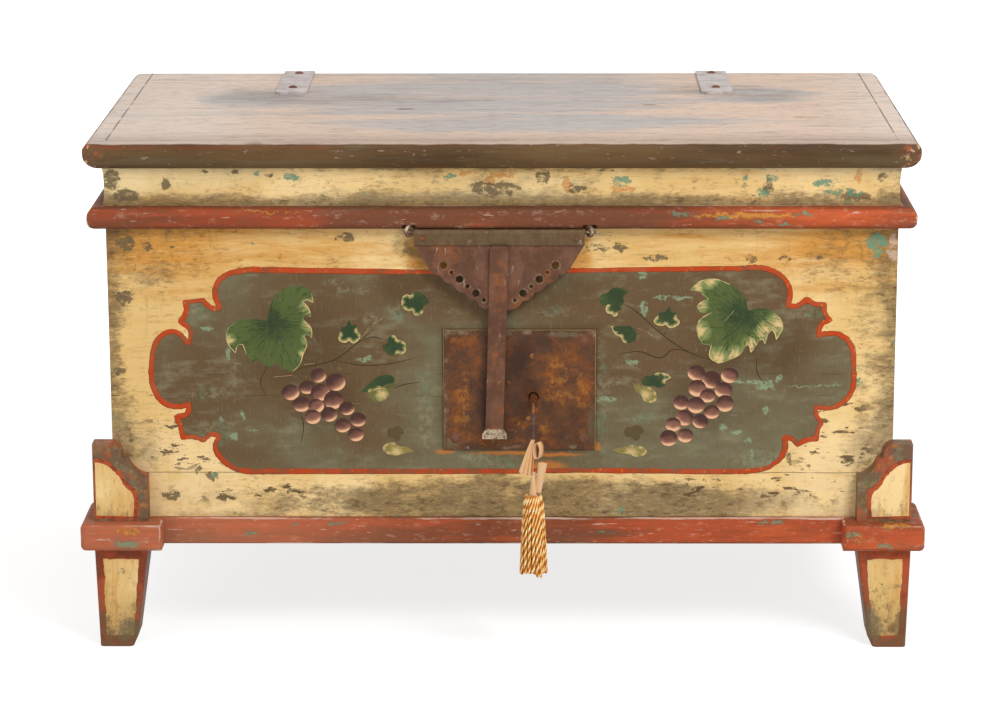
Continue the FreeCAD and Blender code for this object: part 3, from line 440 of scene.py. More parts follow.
SEAMS = ((0.296, 0.0005, 0.46), (0.2045, 0.0006, 0.36), (0.3215, 0.0005, 0.48))


def seam_lines(coat):
    """Thin wandering cracks along the joints between the boards, broken here and there."""
    wander = (coat.cloud(7, 2, 0.55) - 0.5) * 0.006
    lines = []
    for level, half_width, gaps in SEAMS:
        broken = coat.cloud(14, 3, 0.55, shift=(level * 90, 3, 0)).rise(gaps, gaps + 0.06)
        lines.append(abs(coat.z - level + wander).rise(half_width, half_width * 0.4) * broken)
    return reduce(coat.most, lines)


# Larger chips and stains of the front, seen in the photograph: across, height, half width, half height

FRONT_GREY_CHIPS = (
    (-426, 474, 12, 8), (-401, 472, 6, 4), (-374, 469, 4, 2), (-430, 412, 9, 9), (-438, 325, 6, 5),
    (-334, 200, 9, 4), (-349, 209, 4, 4), (-177, 481, 12, 4), (174, 457, 13, 3), (137, 469, 7, 4),
    (108, 469, 13, 4), (132, 470, 8, 3), (282, 456, 6, 4), (320, 457, 6, 2), (358, 457, 6, 3), (-268, 184, 5, 2),
    (-240, 182, 9, 2), (330, 222, 3, 7), (-382, 176, 10, 5), (-372, 262, 3, 5),
)
FRONT_TEAL_CHIPS = ((424, 472, 11, 15), (406, 311, 3, 5), (-331, 202, 4, 3))
FRONT_PINK_CHIPS = ((443, 470, 6, 16),)
FRONT_DASHES = ((-370, 240, 60, 34), (300, 190, 120, 22), (-290, 182, 90, 14), (380, 250, 50, 60))
FRONT_DARK_STAINS = (
    (70, 186, 34, 11), (132, 178, 30, 9), (218, 172, 40, 7), (20, 172, 50, 6), (-60, 168, 60, 5), (30, 184, 70, 14),
    (170, 186, 60, 10), (-110, 178, 50, 8),
)
FRONT_BROWN_EDGES = (
    (-430, 446, 50, 60), (-380, 462, 70, 30), (-448, 360, 16, 80), (-446, 300, 16, 70), (434, 370, 30, 130),
    (400, 456, 60, 40), (-440, 290, 26, 14), (0, 184, 170, 26), (-180, 176, 120, 16), (200, 172, 160, 18),
    (-100, 470, 30, 26),
)


# Heights in metres between which a zone fades in

UNDER_PANEL = (0.206, 0.186)
FRIEZE_FOOT = (0.541, 0.519)
LEG_LOWER_HALF = (0.085, 0.015)
LEG_FOOT = (0.012, 0.001)
HASP_STRIP = (0.4738, 0.4750)
HASP_TIP = (0.2600, 0.2565)


def board_dirt_and_shade(coat):
    """Dirt by the body's corners and along the base, darkening round the brackets, and painted shade in a band
    under the moulding.
    """
    low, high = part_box("front_board")
    x = abs(coat.x)
    side = x.rise(high.x - 0.03, high.x)
    base = coat.z.rise(low.z + 0.05, low.z - 0.01)
    # The band under the lid's moulding is painted shade.
    top = coat.z.rise(high.z - 0.018, high.z)
    bracket_low, bracket_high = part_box("right_bracket_front")
    slope = x - bracket_low.x + (coat.z - bracket_high.z) * 0.62 + 0.022
    near_bracket = coat.least(x - bracket_low.x + 0.03, slope + 0.026)
    bracket = near_bracket.rise(0, 0.034) * coat.z.rise(bracket_high.z + 0.05, bracket_high.z - 0.01)
    return side * 0.22 + base * 0.34 + top * 0.16 + bracket * 0.46


def board_ochre(coat):
    """The cream is yellower near the upper corners."""
    _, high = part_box("front_board")
    upper = coat.z.rise(high.z - 0.11, high.z - 0.02)
    outer = abs(coat.x).rise(0.10, 0.4)
    return upper * (outer * 0.34 + 0.12)


def front_cream():
    """The front board's cream with its stains, chips and cracked joints, and painted shade round the hasp."""
    coat = Coat("cream_front")
    brown = coat.spots(FRONT_BROWN_EDGES, 14, 24, 0.45)
    # Round the hasp the cream is darker and yellower: a stain, and painted shade of the hasp, which stands off the
    # board.
    hasp = coat.outside("hasp_plate").rise(0.016, 0)
    under = coat.z.rise(*UNDER_PANEL) * abs(coat.x - 0.06).rise(0.3, 0.12)
    dirt = board_dirt_and_shade(coat) + brown * 0.26 + hasp * 0.2 + under * 0.2
    roughness, height = cream_coat(coat, "x", dirt, board_ochre(coat) + hasp * 0.3, -0.01)
    stains = coat.spots(FRONT_DARK_STAINS, 16, 46, 0.5) * coat.cloud(70, 6, 0.78, (0.5, 1, 1)).rise(0.46, 0.6)
    coat.lay(stains * 0.62, "bare")
    corner = abs(coat.x).rise(0.24, 0.36) * coat.z.rise(0.29, 0.2)
    coat.lay(corner * coat.cloud(36, 6, 0.74, shift=(3, 1, 1)).rise(0.36, 0.56) * 0.7, "cream_light")
    dashes = coat.flakes(75, 0.6, 4, (0.55, 0.3, 1.5), (0.6, 5, 1))
    coat.lay(dashes * coat.spots(FRONT_DASHES, 14, 24, 0.4) * 0.85, "grime")
    height -= chips(coat, FRONT_GREY_CHIPS, "bare")
    height -= chips(coat, FRONT_PINK_CHIPS, "lid_peach", 11, 0.6, 0.3)
    height -= chips(coat, FRONT_TEAL_CHIPS, "teal")
    crackle = coat.cloud(170, 3, 0.6, (1, 1, 0.09), swirl=0.5).rise(0.6, 0.7)
    coat.lay(crackle * 0.12, "umber")
    cracks = seam_lines(coat)
    coat.lay(cracks * 0.55, "grime")
    bare_inside(coat, "front_board", "x")
    return coat.finish(roughness, height - cracks - stains * 0.4, 0.0006)


def side_cream(node):
    """A side board's cream, dirtier at its ends and foot."""
    coat = Coat("cream_" + node)
    low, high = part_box(node)
    middle, half = (low.y + high.y) / 2, (high.y - low.y) / 2
    ends = abs(coat.y - middle).rise(half - 0.03, half)
    dirt = coat.z.rise(low.z + 0.08, low.z) * 0.34 + ends * 0.26
    upper = coat.z.rise(high.z - 0.11, high.z - 0.02)
    roughness, height = cream_coat(coat, "y", dirt, upper * 0.3, 0.006)
    cracks = seam_lines(coat)
    coat.lay(cracks * 0.8, "grime")
    bare_inside(coat, node, "y")
    return coat.finish(roughness, height - cracks, 0.0006)


FRIEZE_GREY_CHIPS = (
    (-440, 548, 10, 12), (-424, 530, 16, 6), (-379, 542, 5, 7), (-334, 556, 5, 2), (-300, 555, 4, 3),
    (-262, 552, 3, 2), (46, 551, 8, 8), (-6, 537, 30, 8), (118, 559, 7, 2), (428, 550, 5, 5), (300, 540, 5, 7),
    (86, 537, 12, 4), (400, 528, 16, 4),
)
FRIEZE_TEAL_CHIPS = (
    (-236, 551, 9, 5), (-275, 555, 3, 3), (-56, 553, 6, 3), (136, 546, 11, 6), (304, 549, 7, 5), (275, 546, 3, 7),
    (362, 543, 12, 4), (374, 533, 12, 3), (296, 533, 9, 4), (398, 532, 9, 3),
)
FRIEZE_ORANGE_CHIPS = (
    (0, 554, 14, 5), (-40, 555, 7, 3), (-12, 546, 4, 5), (74, 542, 4, 8), (402, 551, 4, 8), (137, 537, 15, 3),
)


def frieze_board(node, along):
    """A frieze board's cream, cooler above and dirty at its foot, with painted shade along its top under the lid's
    nose.
    """
    coat = Coat("frieze_cream_" + node)
    _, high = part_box(node)
    foot = coat.z.rise(*FRIEZE_FOOT)
    # Painted shade along the top, under the lid's nose.
    top = coat.z.rise(high.z - 0.006, high.z)
    ends = abs(coat.x).rise(0.41, 0.45)
    middle = abs(coat.x + 0.02).rise(0.24, 0.04) if along == "x" else 0
    dirt = foot * 0.5 + top * 0.2 + ends * 0.16 + 0.08 + middle * 0.14
    roughness, height = cream_coat(coat, along, dirt, foot * 0.12 - 0.04)
    faded = coat.cloud(20, 5, 0.7, along, (2, 8, 3)).rise(0.4, 0.6) * (1 - foot)
    coat.lay(faded * 0.4, "cream_faded")
    if along == "x":
        height -= chips(coat, FRIEZE_ORANGE_CHIPS, "orange", 11, 0.6)
        height -= chips(coat, FRIEZE_GREY_CHIPS, "bare")
        height -= chips(coat, FRIEZE_TEAL_CHIPS, "teal")
    bare_inside(coat, node, along)
    return coat.finish(roughness, height, 0.0006)


RED_TEAL_RUBS = {
    "lid_bead_front": ((205, 511, 14, 2), (248, 506, 7, 3), (340, 511, 14, 2), (318, 499, 9, 2), (290, 503, 6, 2)),
    "base_rail_front": (
        (-290, 133, 7, 3), (-190, 146, 12, 2), (-240, 143, 6, 1), (120, 135, 9, 2), (310, 146, 16, 2),
    ),
    "front_left_corner_block": ((-432, 129, 16, 4),),
    "front_right_corner_block": ((402, 141, 7, 4), (440, 127, 12, 3)),
}
RED_OCHRE_RUBS = {
    "lid_bead_front": ((272, 510, 60, 3), (-260, 514, 40, 1)),
    "front_left_corner_block": ((-428, 144, 14, 3),),
    "front_right_corner_block": ((408, 137, 6, 7), (450, 150, 16, 2)),
}


def red_wood(node, along):
    """Worn red oxide: rubbed arrises, brown zones and chips down to teal, ochre and grey."""
    coat = Coat("red_paint_" + node)
    low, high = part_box(node)
    zones = coat.cloud(7, 4, 0.6, along, (2, 1, 5))
    coat.base(zones.rise(0.44, 0.6), "red", "red_dark")
    sooty = coat.cloud(26, 5, 0.66, along, (1, 6, 1)) + coat.x.near(-0.02, 0.26, 0.3) * 0.22
    coat.lay(sooty.rise(0.5, 0.68) * 0.8, "red_sooty")
    light = coat.cloud(22, 5, 0.65, along, (7, 3, 1))
    away = abs(coat.x + 0.02).rise(0.12, 0.3) * 0.06
    coat.lay((light + away).rise(0.54, 0.7) * 0.85, "red_light")
    streaks = grain(coat, along, 150)
    coat.lay(streaks.rise(0.54, 0.74) * 0.55, "red_dark")
    soil = coat.cloud(60, 6, 0.72, along, (1, 2, 8))
    ends = abs(coat.x).rise(0.38, 0.49) * 0.1
    coat.lay((soil + ends).rise(0.54, 0.7) * 0.7, "red_brown")
    edge = coat.edge_distance(node).rise(0.005, 0.0008)
    dark = coat.z.rise(low.z + 0.006, low.z + 0.001) + coat.z.rise(high.z - 0.0025, high.z - 0.0005)
    coat.lay(coat.least(1, dark) * 0.42, "grime")
    mottled = coat.cloud(150, 6, 0.78, (0.4, 0.4, 1), (6, 2, 3))
    coat.lay(mottled.rise(0.5, 0.68) * 0.5, "red_brown")
    coat.lay(mottled.rise(0.46, 0.3) * 0.3, "lid_peach")
    rosy = coat.x.rise(-0.05, -0.3) * coat.z.rise(0.3, 0.2)
    coat.lay(rosy * 0.34, "red_rosy")
    specks = coat.flakes(330, 0.66, 3, along if along == "x" else EVEN, soft=0.05)
    coat.lay(specks * 0.55, "lid_peach")
    rubbed = (edge * 0.3 + coat.cloud(75, stretch=along)).rise(0.74, 0.84)
    coat.lay(rubbed * 0.62, "lid_peach")
    height = streaks * 0.3 - rubbed * 0.2
    if node in RED_OCHRE_RUBS:
        height -= chips(coat, RED_OCHRE_RUBS[node], "ochre", 10, 0.7, 0.2)
    if node in RED_TEAL_RUBS:
        height -= chips(coat, RED_TEAL_RUBS[node], "teal", 10, 0.7, 0.2)
    worn = (coat.cloud(52, 5, 0.66, along, (5, 8, 2)) + edge * 0.06).rise(0.67, 0.7)
    coat.lay(worn * 0.7, "bare")
    return coat.finish(0.48 + worn * 0.2 + streaks * 0.12, height - worn * 0.4, 0.0007)


LID_GREY = ((-30, 130, 260, 170), (-300, 100, 70, 60), (300, 112, 80, 70), (20, -80, 250, 60))
LID_STAINS = ((-284, 128, 66, 48), (-210, 90, 110, 40), (-120, 80, 90, 24), (306, 122, 56, 50), (262, 150, 56, 44))
LID_KNOTS = ((175, 44, 9, 3), (-116, 17, 11, 4))


def lid_top_coat(coat):
    """Faded grey paint with peach bare zones, dark stains round the hinges and fine cracks."""
    zones = coat.cloud(9, 5, 0.65, (0.3, 1, 1), (0, 2, 0))
    grey = coat.spots(LID_GREY, 34, 13, 0.5, flat=2)
    bands = coat.cloud(24, 5, 0.7, (0.1, 1, 1), (4, 1, 0))
    ends = abs(coat.x - 0.06).rise(0.3, 0.42)
    pale = coat.mix(ends * 0.6, "lid_peach", "lid_pale")
    cool = (grey * 0.4 + bands * 1.3 + zones * 0.5).rise(0.98, 1.3)
    coat.base(cool, pale, "lid_grey")
    front = coat.y.rise(-0.12, -0.2)
    coat.lay(front * (bands * 0.8 + 0.1), "lid_front")
    stain = coat.spots(LID_STAINS, 22, 20, 0.5, flat=2)
    mottled = coat.cloud(36, 6, 0.72, (0.3, 1, 1)).rise(0.36, 0.62)
    coat.lay(stain * (mottled * 0.34 + 0.06), "lid_stain")
    streaks = coat.cloud(130, 6, 0.7, (0.09, 1, 1), swirl=0.5)
    coat.lay(streaks.rise(0.5, 0.66) * 0.34, "lid_stain")
    coat.lay(streaks.rise(0.44, 0.3) * 0.45, "lid_peach")
    fine = coat.cloud(520, 6, 0.8, (0.08, 1, 1), (1, 5, 0))
    coat.lay(fine.rise(0.52, 0.66) * 0.5, "lid_stain")
    cracks = coat.cloud(60, 6, 0.72, (0.08, 1, 1), (0, 9, 0), 0.7).rise(0.665, 0.7)
    knots = coat.spots(LID_KNOTS, 3, 90, 0.3, flat=2)
    ticks = coat.flakes(240, 0.6, 5, (0.16, 1, 1), shift=(2, 4, 0), soft=0.04)
    coat.lay(ticks * 0.5, "lid_stain")
    lines = coat.least(1, cracks + knots * 0.9)
    coat.lay(lines * 0.78, "grime")
    height = streaks * 0.35 + fine * 0.25 - lines * 0.9
    return 0.46 + streaks * 0.2, height


def lid_plank():
    """The lid's top coat with the dark joints of the planks, and bare wood below."""
    coat = Coat("lid_top_paint")
    roughness, height = lid_top_coat(coat)
    low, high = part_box("lid_plank_front")
    rear_seam = coat.y.near(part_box("lid_plank_rear")[0].y, 0.0012)
    ring = coat.y.rise(low.y + 0.0026, low.y + 0.0006) + abs(coat.x).rise(high.x - 0.0024, high.x - 0.0006)
    top_only = coat.z.rise(high.z - 0.004, high.z - 0.001)
    seams = coat.least(1, rear_seam * 0.5 + coat.least(ring, 1)) * top_only
    broken = coat.cloud(30, 4, 0.6).rise(0.36, 0.5)
    coat.lay(seams * broken * 0.85, "grime")
    coat.lay(1 - top_only, aged_wood(coat, "x")[0])
    return coat.finish(roughness, height - seams, 0.0008)


def lid_edge(node, along):
    """The lid's border: the faded top coat above, and dark olive brown round the nose."""
    coat = Coat("lid_edge_paint_" + node)
    low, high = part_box("lid_edge_front")
    _, top_height = lid_top_coat(coat)
    top_colour = coat.colour
    zones = coat.cloud(14, 5, 0.68, along)
    coat.base(zones.rise(0.4, 0.64), "edge", "grime")
    lower = coat.z.rise(high.z - 0.012, low.z + 0.004) * 0.12
    pale = coat.cloud(30, 5, 0.66, along, (4, 4, 1))
    coat.lay((pale + lower).rise(0.52, 0.7) * 0.65, "bare")
    red = coat.cloud(18, 5, 0.68, along, (6, 0, 2))
    upper = coat.z.rise(high.z - 0.016, high.z - 0.003) * 0.1
    coat.lay((red + upper * 1.5).rise(0.58, 0.7) * 0.7, "red_dark")
    streaks = grain(coat, along, 190)
    coat.lay(streaks.rise(0.54, 0.74) * 0.4, "grime")
    greenish = coat.cloud(44, 6, 0.74, along, (8, 4, 1)).rise(0.52, 0.64)
    coat.lay(greenish * 0.5, "field")
    specks = coat.flakes(230, 0.63, 5, (0.45, 0.45, 1), soft=0.04)
    coat.lay(specks * 0.3, "lid_peach")
    ends = abs(coat.x).rise(0.435, 0.468) * coat.y.rise(low.y + 0.06, low.y + 0.02)
    warm = coat.cloud(80, 5, 0.72).rise(0.5, 0.62) * ends
    coat.lay(ends * 0.4, "red_brown")
    coat.lay(warm * 0.6, "red_light")
    glints = coat.flakes(120, 0.58, 5, soft=0.05) * ends
    coat.lay(glints * 0.6, "pale")
    foot = coat.z.rise(low.z + 0.005, low.z + 0.001)
    coat.lay(foot * 0.6, "grime")
    _, _, up = coat.parts(coat.facing)
    wander = (coat.cloud(30, 4, 0.55) - 0.5) * 0.3
    above = (up + wander).rise(0.78, 0.94)
    line = (up + wander * 0.5).near(0.8, 0.12) * coat.cloud(50, 4, 0.6, along).rise(0.36, 0.5)
    coat.lay(above, top_colour)
    coat.lay(line * 0.55, "grime")
    height = streaks * 0.35 - specks * 0.4 + top_height * 0.3
    return coat.finish(0.38 + streaks * 0.25, height, 0.0008)


def aged_wood(coat, along):
    """Colour, roughness and height of bare softwood: grain, dust and brown ageing."""
    rings = coat.cloud(40, 6, stretch=along, swirl=0.3)
    wood = coat.mix(rings.rise(0.4, 0.8) * 0.8, "wood", "grime")
    dust = coat.cloud(6, shift=(3, 3, 1))
    wood = coat.mix(dust.rise(0.4, 0.7) * 0.4, wood, "bare")
    fine = coat.cloud(420, 2, 0.5, along)
    wood = coat.mix(fine.rise(0.5, 0.75) * 0.3, wood, "bare")
    return wood, 0.66 + fine * 0.2, rings * 0.5 + fine * 0.3


def bare_inside(coat, node, along):
    """Leaves bare the faces of a board that look into the chest, which were never painted."""
    low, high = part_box(node)
    middle = (low + high) / 2
    nx, ny, nz = coat.parts(coat.facing)
    normal, centre = (ny, middle.y) if high.x - low.x > high.y - low.y else (nx, middle.x)
    inward = normal * (1 if centre < 0 else -1)
    coat.lay(coat.most(inward, abs(nz)).rise(0.5, 0.7), aged_wood(coat, along)[0])


def bare_board():
    """Planed softwood that was never painted, darkened with age."""
    coat = Coat("bare_softwood")
    coat.colour, roughness, height = aged_wood(coat, "x")
    return coat.finish(roughness, height, 0.0006)


def bracket_band():
    """Grey-brown band of the brackets with red, green and ochre rubs."""
    coat = Coat("bracket_band")
    zones = coat.cloud(40)
    coat.base(zones.rise(0.4, 0.56), "bare", "red_brown")
    green = coat.cloud(34, shift=(4, 4, 4)).rise(0.48, 0.6)
    coat.lay(green * 0.6, "band_green")
    red = coat.cloud(30, shift=(1, 8, 4)).rise(0.46, 0.58)
    coat.lay(red * 0.6, "red")
    dirt = coat.cloud(70, 6, 0.72).rise(0.52, 0.68)
    coat.lay(dirt * 0.45, "grime")
    rubbed = coat.cloud(120, 6, 0.74, shift=(3, 1, 5)).rise(0.52, 0.64)
    coat.lay(rubbed * 0.35, "ochre")
    specks = coat.flakes(300, 0.64, 3, soft=0.06)
    coat.lay(specks * 0.24, "lid_peach")
    return coat.finish(0.5 + dirt * 0.15, zones * 0.4 - dirt * 0.4, 0.0008)


LEG_FIELD_EDGE = 0.0095


def leg_paint(node):
    """Red border round a cream field on the outer faces, rubbed through towards the foot; the inner and rear faces
    are plain red, darkened with painted shade.
    """
    coat = Coat("leg_paint_" + node)
    low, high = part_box(node)
    centre = (low + high) / 2
    half = (high.x - low.x) / 2
    outer = 1 if centre.x > 0 else -1
    taper = (high.z - coat.z) * 0.058
    nx, ny, _ = coat.parts(coat.facing)
    front = ny.rise(-0.5, -0.7)
    side = (nx * outer).rise(0.5, 0.7)
    side_x = half - LEG_FIELD_EDGE - taper - abs(coat.x - centre.x - outer * (high.z - coat.z) * 0.04)
    side_y = half - LEG_FIELD_EDGE - taper - abs(coat.y - centre.y)
    inner = (1 - front) * (1 - side)
    across = side_x * front + side_y * side - inner * 0.1
    wobble = (coat.cloud(55, 4, 0.62) - 0.5) * 0.007
    inside = coat.least(across, coat.least(coat.z - 0.014, high.z - 0.013 - coat.z)) + wobble
    field = inside.rise(-0.0004, 0.0006)
    red = coat.mix(coat.cloud(30).rise(0.42, 0.6), "red", "red_dark")
    rubbed = coat.cloud(60, 6, 0.7, "z", (1, 2, 3)).rise(0.5, 0.66)
    red = coat.mix(rubbed * 0.6, red, "red_brown")
    # The inner and rear faces turn red brown: painted shade.
    red = coat.mix(inner * 0.75, red, "red_brown")
    low_half = coat.z.rise(*LEG_LOWER_HALF)
    roughness, height = cream_coat(coat, "z", low_half * 0.2, 0.1, 0.01)
    coat.base(field, red, coat.colour)
    soil = (coat.cloud(60, 6, 0.72, shift=(6, 1, 1)) + low_half * 0.12).rise(0.54, 0.68)
    coat.lay(soil * (low_half * 0.6 + 0.2), "bare")
    coat.lay(low_half * 0.3, "umber")
    grey = (coat.cloud(34, shift=(2, 7, 1)) + low_half * 0.1).rise(0.6, 0.66)
    coat.lay(grey * 0.6, "field")
    foot = coat.z.rise(*LEG_FOOT)
    coat.lay(foot * 0.6, "red_brown")
    edge = coat.cloud(90, rough=0.7, shift=(8, 3, 1)).rise(0.64, 0.7)
    coat.lay(edge * 0.4, "lid_peach")
    return coat.finish(roughness, height - soil * 0.3, 0.0007)


# Sides of the lid and the base, with the axis that their boards run along

SIDES = (("front", "x"), ("left", "y"), ("right", "y"))


class CHEST_OT_paint_lid(bpy.types.Operator):
    """Finish the lid's planks and its nosed border"""

    bl_idname = "chest.paint_lid"
    bl_label = "Paint the lid"

    def execute(self, context):
        dress(lid_plank(), "lid_plank_front", "lid_plank_rear")
        for side, along in SIDES:
            node = "lid_edge_" + side
            dress(lid_edge(node, along), node)
        return {"FINISHED"}


class CHEST_OT_paint_boards(bpy.types.Operator):
    """Finish the frieze and the body's boards in cream, and the hidden boards in bare wood"""

    bl_idname = "chest.paint_boards"
    bl_label = "Paint the boards"

    def execute(self, context):
        dress(front_cream(), "front_board")
        for node in ("left_side_board", "right_side_board"):
            dress(side_cream(node), node)
        for side, along in SIDES:
            node = "lid_frieze_" + side
            dress(frieze_board(node, along), node)
        hidden = ("back_board", "lid_frieze_back", "bottom_plank_front", "bottom_plank_rear", "base_rail_back")
        dress(bare_board(), *hidden)
        return {"FINISHED"}


class CHEST_OT_paint_trim(bpy.types.Operator):
    """Finish the moulding, the base rails, the corner blocks, the brackets and the legs"""

    bl_idname = "chest.paint_trim"
    bl_label = "Paint the trim and the legs"

    def execute(self, context):
        for side, along in SIDES:
            for node in ("lid_bead_" + side, "base_rail_" + side):
                dress(red_wood(node, along), node)
        band = bracket_band()
        for side in ("left", "right"):
            for end in ("front", "rear"):
                block, leg = f"{end}_{side}_corner_block", f"{end}_{side}_leg"
                dress(red_wood(block, "x"), block)
                dress(leg_paint(leg), leg)
            dress(band, f"{side}_bracket_front", f"{side}_bracket_side", f"rear_{side}_bracket")
        return {"FINISHED"}


# Painted ornament, laid on the board as thin coats of paint
#
# A point of a drawing is (x, height) in millimetres, or (x, height, 1) where the line has a corner. Levels say how
# far each coat stands off the board, in millimetres.

FIELD_LEVEL = 0.06
BORDER_LEVEL = 0.13
LEAF_LEVEL = 0.17
GRAPE_LEVEL = 0.18
VEIN_LEVEL = 0.29
RIM_LEVEL = 0.3
GLINT_LEVEL = 0.31
PLATE_GAP = 0.4
SHADE_STEP = 1.6
RIM_INSET = 0.6
PALE_REACH = 6


def only(obj):
    """Makes one object the only selected and active one."""
    bpy.ops.object.select_all(action="DESELECT")
    obj.select_set(True)
    bpy.context.view_layer.objects.active = obj


def as_mesh(curve, name):
    obj = bpy.data.objects.new(name, curve)
    bpy.context.scene.collection.objects.link(obj)
    only(obj)
    bpy.ops.object.convert(target="MESH")
    return bpy.context.view_layer.objects.active


def add_line(curve, points, closed=True):
    """Adds a smooth line to a drawing and gives its points."""
    spline = curve.splines.new("BEZIER")
    spline.bezier_points.add(len(points) - 1)
    spline.use_cyclic_u = closed
    for point, (x, height, *corner) in zip(spline.bezier_points, points):
        point.co = (x * MM, height * MM, 0)
        point.handle_left_type = point.handle_right_type = "VECTOR" if corner else "AUTO"
    return spline.bezier_points


def filled(name, *outlines):
    """A flat filled shape, a second outline being a hole."""
    curve = bpy.data.curves.new(name, "CURVE")
    curve.dimensions = "2D"
    curve.fill_mode = "BOTH"
    curve.resolution_u = 8
    for outline in outlines:
        add_line(curve, outline)
    return as_mesh(curve, name)


def brushed_line(name, points, width, closed=False):
    """A brush line of paint along points, flattened later: thin at its ends, or uneven where it is closed."""
    curve = bpy.data.curves.new(name, "CURVE")
    curve.dimensions = "3D"
    curve.resolution_u = 8
    curve.bevel_depth = width / 2 * MM
    curve.bevel_resolution = 2
    for count, (point, (x, height, *_)) in enumerate(zip(add_line(curve, points, closed), points)):
        if closed:
            point.radius = 1 + 0.3 * noise.noise((x * 0.05, height * 0.05, 0.5))
        else:
            point.radius = 0.4 if count in (0, len(points) - 1) else 1
    return as_mesh(curve, name)


def brushed_lines(lines, width):
    return [brushed_line("stroke", points, width) for points in lines]


def flatten(obj, half_thickness):
    """Presses a tube flat against the drawing plane."""
    reach = max(abs(v.co.z) for v in obj.data.vertices)
    obj.data.transform(Matrix.Diagonal((1, 1, half_thickness * MM / reach, 1)))


def crosscut(obj, step):
    """Cuts a flat shape along a grid, so that shades can vary over it."""
    only(obj)
    low = [min(v.co[i] for v in obj.data.vertices) for i in (0, 1)]
    high = [max(v.co[i] for v in obj.data.vertices) for i in (0, 1)]
    bpy.ops.object.mode_set(mode="EDIT")
    for axis, normal in ((0, (1, 0, 0)), (1, (0, 1, 0))):
        here = low[axis] + step / 2
        while here < high[axis]:
            bpy.ops.mesh.select_all(action="SELECT")
            spot = [0, 0, 0]
            spot[axis] = here
            bpy.ops.mesh.bisect(plane_co=spot, plane_no=normal, use_fill=False)
            here += step
    bpy.ops.object.mode_set(mode="OBJECT")


def store(obj, name, values):
    """Keeps one value per point for the finish to read."""
    layer = obj.data.attributes.new(name, "FLOAT", "POINT")
    layer.data.foreach_set("value", values)


def lay_on_board(obj, level, material):
    """Stands a drawing, made flat in XY, on the front board's face."""
    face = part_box("front_board")[0].y
    obj.data.transform(Matrix.Translation((0, face - level * MM, 0)) @ Matrix.Rotation(math.radians(90), 4, "X"))
    obj.data.materials.clear()
    obj.data.materials.append(material)
    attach(obj, "chest")


# The panel's outline, from its upper left round by the foot

PANEL_LEFT = (
    (-290, 443), (-318, 434), (-326, 417), (-321, 399, 1), (-330, 399), (-340, 408, 1), (-360, 406, 1), (-359, 396),
    (-366, 383, 1), (-355, 372), (-358, 357, 1), (-372, 371), (-390, 365), (-400, 335), (-398, 303), (-388, 288),
    (-371, 283), (-359, 286, 1), (-361, 275), (-373, 271, 1), (-369, 258), (-367, 246, 1), (-355, 247),
    (-343, 243, 1), (-334, 250), (-325, 248, 1), (-330, 235), (-323, 221), (-307, 209), (-294, 206),
)
PANEL_FOOT = ((-264, 206), (-80, 206), (110, 207), (262, 206))
PANEL_RIGHT = (
    (290, 207), (311, 214), (324, 231), (324, 246, 1), (332, 245), (339, 238, 1), (350, 244), (360, 245, 1),
    (362, 256), (366, 264, 1), (360, 273), (359, 283, 1), (372, 281), (388, 287), (399, 300), (401, 330),
    (397, 356), (384, 368), (370, 369), (360, 367, 1), (364, 380), (373, 385, 1), (367, 393), (366, 403, 1),
    (354, 404), (346, 409, 1), (336, 402), (325, 402, 1), (327, 417), (321, 432), (298, 445),
)
PANEL_TOP = ((268, 445), (110, 443), (-90, 441), (-262, 443))
PANEL = PANEL_LEFT + PANEL_FOOT + PANEL_RIGHT + PANEL_TOP

# Rubs and stains of the panel's field: across, height, half width, half height

FIELD_BROWN = (
    (-190, 345, 90, 60), (-230, 410, 60, 36), (-60, 415, 90, 36), (160, 370, 110, 60), (250, 415, 90, 30),
)
# Darker zones of the field: a darker paint round the leaves and grapes, and painted shade under the hasp's top.
FIELD_SHADE = (
    (-3, 424, 92, 26), (-110, 425, 24, 20), (-205, 290, 40, 36), (232, 290, 40, 36), (-235, 355, 60, 50),
    (312, 350, 34, 32), (268, 350, 50, 34),
)
FIELD_TEAL = (
    (-338, 375, 7, 3), (-297, 273, 3, 5), (-285, 254, 4, 2), (-308, 248, 5, 5), (-156, 339, 9, 3), (159, 438, 5, 5),
    (182, 411, 10, 2), (206, 411, 12, 2), (162, 398, 4, 9), (148, 335, 7, 3), (301, 308, 10, 6), (317, 316, 4, 5),
    (302, 279, 3, 5), (253, 259, 4, 5), (269, 252, 5, 2), (283, 242, 5, 4), (286, 226, 2, 7), (-322, 268, 4, 3),
    (270, 312, 9, 2), (288, 313, 9, 2), (340, 307, 16, 1), (372, 308, 16, 1), (-312, 345, 3, 6), (120, 292, 12, 3),
)
FIELD_HAZE = (
    (-179, 419, 9, 4), (-159, 419, 9, 4), (-190, 429, 12, 4), (-120, 395, 12, 10), (-150, 385, 9, 9),
    (128, 314, 26, 5), (157, 268, 16, 6), (-88, 280, 10, 50), (114, 290, 8, 50), (-5, 216, 26, 7),
    (-30, 222, 20, 5), (60, 395, 20, 6), (-335, 300, 26, 9), (-330, 250, 20, 14), (-306, 318, 3, 20),
    (300, 222, 40, 10), (350, 395, 16, 8), (-345, 395, 14, 10),
)
FIELD_RUST = ((10, 228, 40, 2), (60, 226, 30, 2), (50, 212, 22, 6), (-66, 230, 10, 3), (108, 236, 5, 5))


